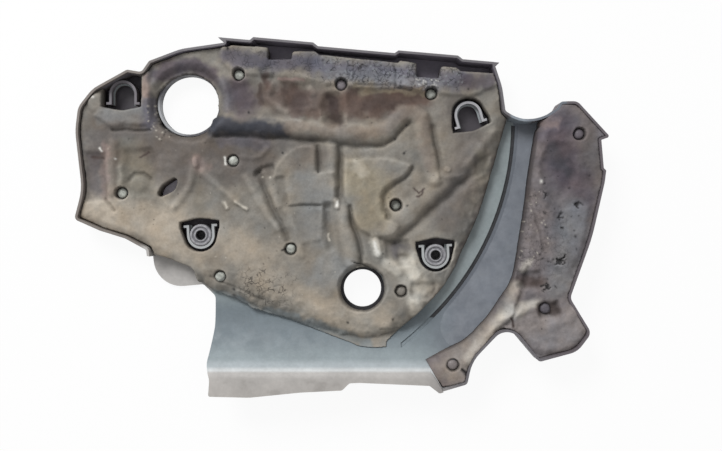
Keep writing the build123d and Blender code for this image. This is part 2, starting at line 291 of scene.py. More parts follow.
def wornLoop(loop, amount, seed, tears):
    # the edge is nibbled inwards, deeper at the tears
    bite = amount * (0.5 + 0.5 * foamGrain(loop, "bite", seed) + 0.3 * foamGrain(loop, "fineBite", seed))
    for spot, radius, depth in tears:
        near = 1 - smooth(0.3 * radius, radius, toPath(loop, [spot]))
        bite = bite + near * depth * (0.6 + 0.4 * foamGrain(loop, "tearBite", seed))
    return uncrossedLoop(loop + np.maximum(bite, 0)[:, None] * leftOf(loop))


def leanedLoop(loop, lip, seed):
    # part of a hole's edge leans in over the collar
    out = loop - lip["centre"]
    far = np.hypot(out[:, 0], out[:, 1])
    turn = (np.degrees(np.arctan2(out[:, 1], out[:, 0])) - lip["first"]) % 360
    span = (lip["last"] - lip["first"]) % 360
    share = np.clip(np.minimum(turn, span - turn) / lip["fade"], 0, 1)
    uneven = 0.8 + 0.35 * foamGrain(loop, "lean", seed) + 0.15 * foamGrain(loop, "fineLean", seed)
    return loop - out / far[:, None] * np.maximum(lip["reach"] * share * uneven, 0)[:, None]


def hexGrid(loops, step):
    # points of an even grid inside the loops
    low = np.min([loop.min(0) for loop in loops], 0)
    high = np.max([loop.max(0) for loop in loops], 0)
    starts = np.vstack(loops)
    ends = np.vstack([np.roll(loop, -1, 0) for loop in loops])
    points = []
    for row, y in enumerate(np.arange(low[1], high[1], step * 0.866)):
        spans = (starts[:, 1] > y) != (ends[:, 1] > y)
        a = starts[spans]
        b = ends[spans]
        crossings = np.sort(a[:, 0] + (y - a[:, 1]) * (b[:, 0] - a[:, 0]) / (b[:, 1] - a[:, 1]))
        xs = np.arange(low[0] + (row % 2) * step / 2, high[0], step)
        keep = np.searchsorted(crossings, xs) % 2 == 1
        points.append(np.stack([xs[keep], np.full(keep.sum(), y)], 1))
    return np.vstack(points)


def insideLoops(xy, loops):
    inside = np.zeros(len(xy), bool)
    for loop in loops:
        inside ^= toField(xy, loop) < 0
    return inside


def fillLoops(loops, inner):
    # triangles between the loops through the inner points
    rings = np.vstack(loops)
    points = np.vstack([rings, inner])
    spans = []
    edges = []
    start = 0
    for loop in loops:
        spans.append(slice(start, start + len(loop)))
        edges += [(start + k, start + (k + 1) % len(loop)) for k in range(len(loop))]
        start += len(loop)
    found = delaunay_2d_cdt([Vector(p) for p in points], edges, [], 0, 1e-5)
    placed = np.array([(p.x, p.y) for p in found[0]])
    faces = np.array([f for f in found[2] if len(f) == 3])
    source = np.full(len(points), -1)
    for new, olds in enumerate(found[3]):
        source[list(olds)] = new
    ringIds = [source[span] for span in spans]
    onRing = np.ones(len(placed), bool)
    onRing[source[len(rings):]] = False
    doubtful = np.flatnonzero(onRing[faces].all(1))
    keep = np.ones(len(faces), bool)
    keep[doubtful] = insideLoops(placed[faces[doubtful]].mean(1), loops)
    # the foam lies to the left of each ring edge, which also settles the thinnest triangles
    ahead = {pair for ids in ringIds for pair in zip(ids.tolist(), np.roll(ids, -1).tolist())}
    for k in doubtful:
        a, b, c = faces[k].tolist()
        if {(a, b), (b, c), (c, a)} & ahead:
            keep[k] = True
        elif {(b, a), (c, b), (a, c)} & ahead:
            keep[k] = False
    faces = faces[keep]
    turned = turnOf(*[placed[faces[:, corner]].T for corner in range(3)]) < 0
    faces[turned] = faces[turned][:, ::-1]
    return placed, faces, ringIds


def underside(node):
    data = cadNodes[node].data
    tree = BVHTree.FromPolygons([v.co for v in data.vertices], [tuple(p.vertices) for p in data.polygons])

    def seat(xy):
        # height of the node's lower face over each point
        heights = np.zeros(len(xy))
        for k, (x, y) in enumerate(xy):
            hit = tree.ray_cast(Vector((x * mm, y * mm, -0.01)), Vector((0, 0, 1)))[0]
            if hit is None:
                hit = tree.find_nearest(Vector((x * mm, y * mm, 0)))[0]
            heights[k] = hit.z / mm
        return heights
    return seat


def blurred(values, faces, rounds):
    # each point drifts towards the mean of its neighbours
    ends = np.vstack([faces[:, [0, 1]], faces[:, [1, 2]], faces[:, [2, 0]]])
    count = np.bincount(ends[:, 0], minlength=len(values)) + np.bincount(ends[:, 1], minlength=len(values))
    for _ in range(rounds):
        total = np.bincount(ends[:, 0], values[ends[:, 1]], len(values))
        total += np.bincount(ends[:, 1], values[ends[:, 0]], len(values))
        values = 0.35 * values + 0.65 * total / np.maximum(count, 1)
    return values


def raiseFoam(xy, faces, plan, rounds):
    # relief over the plain top of a pad
    level = plan["top"]
    soft = 0.8    # mm over which a roll runs out into the top
    height = np.zeros(len(xy))
    warped = stirred(xy, "wander", plan["seed"])
    for rise, draft, corners in plan["fields"].values():
        height += rise * smooth(draft / 2, -draft / 2, toField(warped, onPart(corners, level)))
    for radius, rise, path in plan["rolls"].values():
        gap = toPath(warped, onPart(path, level))
        crest = np.sqrt(np.maximum(radius ** 2 - gap ** 2, 0)) - (radius - rise)
        blended = np.maximum(crest, 0) + soft * np.exp(-np.abs(crest) / soft) * 0.5
        height += np.where(crest > -3 * soft, blended, 0)
    height = blurred(height, faces, rounds)
    for width, depth, path in plan["grooves"].values():
        height -= depth * np.exp(-(toPath(warped, onPart(path, level)) / width) ** 2)
    for radius, rise, path in plan["lumps"].values():
        height += rise * np.exp(-(toPath(xy, onPart(path, level)) / radius) ** 4)
    return height


def tornStar(xy, middle, reach, spokes, seed):
    # ragged tear with thin kinked spokes, one at its heart
    rng = np.random.default_rng(seed)
    out = toPath(xy, [middle])
    mask = smooth(0.5 * reach, 0.25 * reach, out)
    near = out < 2 * reach
    for k in range(spokes):
        turn = 2 * math.pi * (k + rng.uniform(-0.35, 0.35)) / spokes
        far = reach * rng.uniform(0.45, 1.3)
        path = [middle]
        for share in (0.35, 0.7, 1.0):
            bend = turn + rng.uniform(-0.5, 0.5)
            path.append(middle + far * share * np.array([math.cos(bend), math.sin(bend)]))
        width = 0.4 * reach * np.clip(1 - out[near] / far, 0.08, 1)
        mask[near] = np.maximum(mask[near], np.exp(-(toPath(xy[near], path) / np.maximum(width, 0.7)) ** 2))
    return mask


def fleckMask(placed, pointTree, area, count, size, seed):
    # small uneven specks strewn over an area
    rng = np.random.default_rng(seed + count)
    spots = rng.uniform(area.min(0), area.max(0), (6 * count, 2))
    spots = spots[toField(spots, area) < 0][:count]
    mask = np.zeros(len(placed))
    for spot in spots:
        radius = size * rng.uniform(0.5, 1.7)
        stretch = rng.uniform(0.35, 1.0)
        turn = rng.uniform(0, math.pi)
        for _, k, _ in pointTree.find_range((*spot, 0), radius * 1.6):
            dx, dy = placed[k] - spot
            along = dx * math.cos(turn) + dy * math.sin(turn)
            across = (dy * math.cos(turn) - dx * math.sin(turn)) / stretch
            mask[k] = max(mask[k], math.exp(-(along * along + across * across) / (0.5 * radius * radius)))
    return mask


def padLoops(plan, step):
    # worn outline and holes of a pad, and the middles of its stud holes
    seed = plan["seed"]
    tears = [(onPart([spot], plan["top"])[0], radius, depth) for spot, radius, depth in plan["tears"]]
    outline = evenLoop(sliceLoops(plan["node"], plan["edgeLevel"])[-1], step, True)
    loops = [wornLoop(outline - plan["swell"] * leftOf(outline), plan["nibble"], seed, tears)]
    studs = []
    for hole in sliceLoops(plan["node"], plan["holeLevel"])[:-1]:
        centre = hole.mean(0)
        across = 2 * np.hypot(*(hole - centre).T).mean()
        if across < plan["studHole"]:
            studs.append(centre)
            loops.append(evenLoop(hole, plan["studStep"], False))
            continue
        loop = evenLoop(hole, step, False)
        for lip in plan["lips"]:
            if np.hypot(*(centre - lip["centre"])) < lip["near"]:
                loop = leanedLoop(loop, lip, seed + 31)
        loops.append(wornLoop(loop, plan["nibble"], seed + 9, tears))
    return loops, studs


def padHeights(plan, placed, faces, loops, studs, under, rounds):
    # height of every point of the top, and masks for its colour
    top = plan["top"]
    seed = plan["seed"]
    height = raiseFoam(placed, faces, plan, int(plan["soften"] * rounds))
    for size, amount in plan["waves"]:
        height += amount * grain(placed, size, seed + int(size * 3))
    for drop, width, route in plan["tapers"].values():
        gap = toPath(placed, onPart(route, top)) + 0.12 * width * foamGrain(placed, "taper", seed)
        height -= drop * np.clip(1 - gap / width, 0, 1) ** 1.5
    crumbs = np.zeros(len(placed))
    for size, width, depth, corners in plan["crumbled"]:
        zone = smooth(5, -5, toField(placed, onPart(corners, top)))
        zone = zone * smooth(-0.5, 0.3, foamGrain(placed, "crumbZone", seed))
        picked = np.flatnonzero(zone > 0.01)
        bent = stirred(placed[picked], "crumbBend", seed)
        seam = np.exp(-(cellSeam(bent, size, seed + 40 + int(size * 7)) / width) ** 2)
        seam *= smooth(-0.6, 0.5, foamGrain(bent, "crumbGate", seed))
        crumbs[picked] = np.maximum(crumbs[picked], seam * zone[picked])
        height[picked] -= depth * zone[picked] * (seam - 0.4 * foamGrain(placed[picked], "crumbRough", seed))
    bend = plan["edgeRound"]
    bigRings = np.vstack([loop for loop in loops if len(loop) > 30])
    drop = np.maximum(bend - gapTo(treeOf(bigRings), placed), 0)
    height -= bend - np.sqrt(np.maximum(bend ** 2 - drop ** 2, 0))
    z = np.maximum(top + height, under(placed) + plan["thin"])
    for centre, radius, depth, slope in plan["bowls"]:
        gap = toPath(placed, onPart([centre], top)) + 1.2 * foamGrain(placed, "bowl", seed)
        z -= depth * smooth(radius + slope, radius, gap)
    pitShade = np.zeros(len(placed))
    radius = plan["pitRadius"]
    for k, centre in enumerate(studs):
        gap = toPath(placed, [centre]) + 0.35 * foamGrain(placed, "pit", seed + k)
        sunk = smooth(radius + 1.2, radius - 0.6, gap)
        z = z * (1 - sunk) + np.minimum(z, plan["studSeat"](centre)) * sunk
        pitShade = np.maximum(pitShade, smooth(radius + 1.4, radius - 0.8, gap))
    ragged = stirred(placed, "ragged", seed)
    torn = np.zeros(len(placed))
    for spot, reach, depth, spokes in plan["stars"]:
        star = tornStar(ragged, onPart([spot], top)[0], reach, spokes, seed + int(spot[0]))
        torn = np.maximum(torn, star)
        z -= depth * star
    flecks = []
    shades = plan["shades"]
    pointTree = treeOf(placed)
    for tone, count, size, corners in plan["flecks"]:
        mask = fleckMask(placed, pointTree, onPart(corners, top), count, size, seed)
        flecks.append((tone, shades["fleck"] * mask))
        # pale specks stand up, dark ones are holes
        z += mask * plan["fleckRise"] * (1 if tones[tone][0] > 120 else -1.4)
    # the coal round each stud head in its pit is painted shade
    for name, mask in (("crumb", crumbs), ("pit", pitShade), ("torn", torn)):
        flecks.append(("coal", shades[name] * mask))
    return z, flecks


def padColours(plan, placed, faces, z, flecks, under, rounds):
    # colour of every point of the top, and how cracked it is
    top = plan["top"]
    seed = plan["seed"]
    colour = np.tile(linear(plan["plain"]), (len(placed), 1))
    blown = stirred(placed, "blown", seed)
    for tone, strength, radius, route in plan["strokes"]:
        gap = toPath(blown, onPart(route, top)) / (radius * shot["pixel"])
        colour = blend(colour, tone, strength * (1 - smooth(0.3, 1.4, gap)))
    cloud = 1 + 0.13 * foamGrain(placed, "broadCloud", seed) + 0.07 * foamGrain(placed, "cloud", seed)
    cloud += 0.03 * foamGrain(placed, "fineCloud", seed, 2)
    # painted shade in hollows and painted light on crests
    near = np.clip(blurred(z, faces, int(6 * rounds)) - z, -1, 1)
    wide = np.clip(blurred(z, faces, int(60 * rounds)) - z, -2, 2)
    cloud *= 1 - plan["reliefShade"] * near - 0.6 * plan["reliefShade"] * wide
    colour *= np.clip(cloud, 0.25, 1.6)[:, None]
    colour *= 1 + foamGrain(placed, "hue", seed)[:, None] * np.array([0.05, 0.0, -0.06])
    shaken = stirred(placed, "shaken", seed)
    for tone, radius, route in plan["marks"]:
        gap = toPath(shaken, onPart(route, top)) / (radius * shot["pixel"])
        colour = blend(colour, tone, np.exp(-gap ** 2))
    if plan["thinTone"]:
        tone, line, side = plan["thinTone"]
        mask = smooth(7, 2, z - under(placed)) * smooth(line + 10, line, placed[:, 1])
        colour = blend(colour, tone, 0.85 * mask * smooth(side + 18, side - 18, placed[:, 0]))
    for tone, mask in flecks:
        colour = blend(colour, tone, mask)
    cracked = np.zeros(len(placed))
    for strength, corners in plan["cracked"]:
        cracked = np.maximum(cracked, strength * smooth(6, -4, toField(blown, onPart(corners, top))))
    return colour, cracked


def linked(name, data):
    thing = bpy.data.objects.new(name, data)
    scene.collection.objects.link(thing)
    return thing


def foamPad(plan):
    step = plan["step"]
    rounds = (plan["step"] / step) ** 2
    loops, studs = padLoops(plan, step)
    ringTree = treeOf(np.vstack(loops))
    grid = hexGrid(loops, step)
    placed, faces, ringIds = fillLoops(loops, grid[gapTo(ringTree, grid) > 0.55 * step])
    under = underside(plan["node"])
    z, flecks = padHeights(plan, placed, faces, loops, studs, under, rounds)
    colour, cracked = padColours(plan, placed, faces, z, flecks, under, rounds)

    def seat(xy):
        # what the pad lies on, the shell or a collar
        heights = under(xy)
        for lip in plan["lips"]:
            over = toPath(xy, [lip["centre"]]) < lip["collar"]
            heights[over] = np.maximum(heights[over], lip["level"])
        return heights

    # walls down to the shell, in two rings, darker towards the foot as painted shade
    vertices = [np.column_stack([placed, z])]
    colours = [colour]
    allFaces = [faces]
    count = len(placed)
    footIds = []
    for ids in ringIds:
        spots = placed[ids]
        foot = np.minimum(seat(spots), z[ids] - plan["leastWall"])
        after = np.roll(np.arange(len(ids)), -1)
        upper = ids
        for share, dark in plan["walls"]:
            vertices.append(np.column_stack([spots, z[ids] + (foot - z[ids]) * share]))
            colours.append(blend(colour[ids], "umber", np.full(len(ids), dark)))
            lower = np.arange(count, count + len(ids))
            count += len(ids)
            allFaces.append(np.column_stack([upper, lower, upper[after]]))
            allFaces.append(np.column_stack([upper[after], lower, lower[after]]))
            upper = lower
        footIds.append(upper)

    # lower face, with a step where it lies on a collar
    grid = [hexGrid(loops, plan["floorStep"])]
    turns = np.linspace(0, 2 * math.pi, 72, endpoint=False)
    for lip in plan["lips"]:
        for radius in (lip["collar"] - 0.15, lip["collar"] + 0.15):
            grid.append(lip["centre"] + radius * np.stack([np.cos(turns), np.sin(turns)], 1))
    grid = np.vstack(grid)
    roomy = (gapTo(ringTree, grid) > 0.25) & insideLoops(grid, loops)
    floorSpots, floorFaces, floorRings = fillLoops(loops, grid[roomy])
    lookup = np.full(len(floorSpots), -1)
    for ids, foot in zip(floorRings, footIds):
        lookup[ids] = foot
    fresh = np.flatnonzero(lookup < 0)
    lookup[fresh] = np.arange(count, count + len(fresh))
    vertices.append(np.column_stack([floorSpots[fresh], seat(floorSpots[fresh])]))
    colours.append(np.tile(linear("umber"), (len(fresh), 1)))
    allFaces.append(lookup[floorFaces][:, ::-1])

    mesh = bpy.data.meshes.new(plan["name"])
    mesh.from_pydata((np.vstack(vertices) * mm).tolist(), [], np.vstack(allFaces).tolist())
    layer = mesh.color_attributes.new("foamColour", "FLOAT_COLOR", "POINT")
    tint = np.clip(np.vstack(colours), 0.002, 0.95)
    share = np.r_[cracked, np.zeros(len(tint) - len(cracked))]    # how cracked each point is, kept as alpha
    layer.data.foreach_set("color", np.column_stack([tint, share]).astype(np.float32).ravel())
    mesh.polygons.foreach_set("use_smooth", np.ones(len(mesh.polygons), bool))
    mesh.update()
    print(plan["name"], len(mesh.vertices), "points", len(mesh.polygons), "faces", len(studs), "studs")
    return linked(plan["name"], mesh), studs


class Painter:
    # short helpers that add nodes to one node tree; lengths are in mm
    def __init__(self, tree):
        self.tree = tree

    def node(self, kind):
        return self.tree.nodes.new("ShaderNode" + kind)

    def put(self, target, value):
        if isinstance(value, bpy.types.NodeSocket):
            self.tree.links.new(value, target)
        else:
            target.default_value = value

    def give(self, socket, value):
        self.put(self.tree.nodes["Principled BSDF"].inputs[socket], value)

    def calc(self, operation, a, b=0.0, clamp=False):
        node = self.node("Math")
        node.operation = operation
        node.use_clamp = clamp
        self.put(node.inputs[0], a)
        self.put(node.inputs[1], b)
        return node.outputs[0]

    def times(self, a, b):
        return self.calc("MULTIPLY", a, b)

    def minus(self, a, b):
        return self.calc("SUBTRACT", a, b)

    def larger(self, a, b):
        return self.calc("MAXIMUM", a, b)

    def mixed(self, factor, a, b, blend="MIX"):
        node = self.node("Mix")
        node.data_type = "RGBA"
        node.blend_type = blend
        self.put(node.inputs[0], factor)
        self.put(node.inputs[6], a)
        self.put(node.inputs[7], b)
        return node.outputs[2]

    def toned(self, factor, colour, tone):
        return self.mixed(factor, colour, rgba(tone))

    def spread(self, value, low, high, first=0.0, last=1.0):
        node = self.node("MapRange")
        node.interpolation_type = "SMOOTHSTEP"
        for slot, number in zip(range(1, 5), (low, high, first, last)):
            node.inputs[slot].default_value = number
        self.put(node.inputs[0], value)
        return node.outputs[0]

    def fade(self, axis, start, end):
        # from 0 to 1 between two places
        return self.spread(axis, start * mm, end * mm)

    def texture(self, kind, size, place):
        node = self.node("Tex" + kind)
        node.inputs["Scale"].default_value = 1.0 / (size * mm)
        self.put(node.inputs["Vector"], place)
        return node

    def cloud(self, size, detail=3.0, rough=0.55):
        node = self.texture("Noise", size, self.place)
        node.inputs["Detail"].default_value = detail
        node.inputs["Roughness"].default_value = rough
        return node.outputs["Fac"]

    def vector(self, operation, *values):
        node = self.node("VectorMath")
        node.operation = operation
        for slot, value in enumerate(values):
            self.put(node.inputs[slot], value)
        return node

    def disc(self, centre, radius, soft):
        # one inside a circle in plan, fading over soft mm
        flat = self.vector("MULTIPLY", self.place, (1, 1, 0)).outputs[0]
        gap = self.vector("DISTANCE", flat, (centre[0] * mm, centre[1] * mm, 0)).outputs["Value"]
        return self.fade(gap, radius + soft / 2, radius - soft / 2)

    def bumped(self, height, strength, distance):
        node = self.node("Bump")
        node.inputs["Strength"].default_value = strength
        node.inputs["Distance"].default_value = distance * mm
        self.put(node.inputs["Height"], height)
        self.give("Normal", node.outputs["Normal"])


# the foam's skin: size in mm of each pattern, with detail and roughness for the clouds
skinPlan = {"speck": (2.4, 4.0, 0.6), "pore": 2.1, "sway": 6.0, "crack": 5.5, "patch": (9.0, 2.0),
            "gloss": (9.0,), "grain": (1.4, 5.0, 0.65)}


def newMaterial(name):
    material = bpy.data.materials.new(name)
    material.use_nodes = True
    paint = Painter(material.node_tree)
    paint.place = paint.node("TexCoord").outputs["Object"]
    return material, paint


def foamMaterial(name):
    material, paint = newMaterial(name)
    stain = paint.node("Attribute")
    stain.attribute_name = "foamColour"
    speck = paint.spread(paint.cloud(*skinPlan["speck"]), 0.3, 0.7, 0.94, 1.06)
    pores = paint.texture("Voronoi", skinPlan["pore"], paint.place)
    pore = paint.spread(pores.outputs["Distance"], 0.04, 0.3, 0.92, 1.0)
    colour = paint.mixed(1.0, stain.outputs["Color"], paint.times(speck, pore), "MULTIPLY")
    # thin wandering cracks where the skin has gone brittle
    reach = skinPlan["sway"]
    sway = paint.texture("Noise", reach, paint.place)
    sway.inputs["Detail"].default_value = 3.0
    swayed = paint.vector("MULTIPLY_ADD", sway.outputs["Color"], (reach * mm, reach * mm, 0), paint.place)
    seams = paint.texture("Voronoi", skinPlan["crack"], swayed.outputs[0])
    seams.feature = "DISTANCE_TO_EDGE"
    broken = paint.spread(paint.cloud(*skinPlan["patch"]), 0.42, 0.56)
    crack = paint.times(paint.spread(seams.outputs["Distance"], 0.015, 0.07, 1.0, 0.0), broken)
    crack = paint.times(crack, stain.outputs["Alpha"])
    paint.give("Base Color", paint.toned(paint.times(crack, 0.7), colour, "coal"))
    paint.give("Roughness", paint.spread(paint.cloud(*skinPlan["gloss"]), 0.3, 0.7, 0.72, 0.95))
    paint.give("Specular IOR Level", 0.3)
    grainHeight = paint.calc("ADD", paint.cloud(*skinPlan["grain"]), paint.times(pore, 0.6))
    paint.bumped(paint.minus(grainHeight, paint.times(crack, 1.5)), 0.18, 0.5)
    return material


# settings that both foam pads share; lengths in mm
padPlan = {
    "step": 1.15, "quickStep": 2.6, "floorStep": 11.0,    # grids of the top, its coarse try and the base
    "studHole": 9.0, "studStep": 1.2, "pitRadius": 6.2,   # widest stud hole, steps round it, its pit
    "soften": 4, "reliefShade": 0.17, "thin": 1.2,               # rounds of smoothing, painted shade in hollows and light on crests, least thickness
    "leastWall": 0.4, "walls": ((0.45, 0.35), (1.0, 0.7)),    # way down and painted shade of the wall's two rings
    # strength of the specks, of the coal in crumb seams and tears, and of the painted shade round the stud
    # pits
    "shades": {"fleck": 0.8, "crumb": 0.35, "pit": 0.8, "torn": 0.85},
}

# crumbs of foam lie in this corner, in both tones
rubble = [(148, 104), (158, 104), (166, 126), (178, 136), (160, 142), (148, 130)]

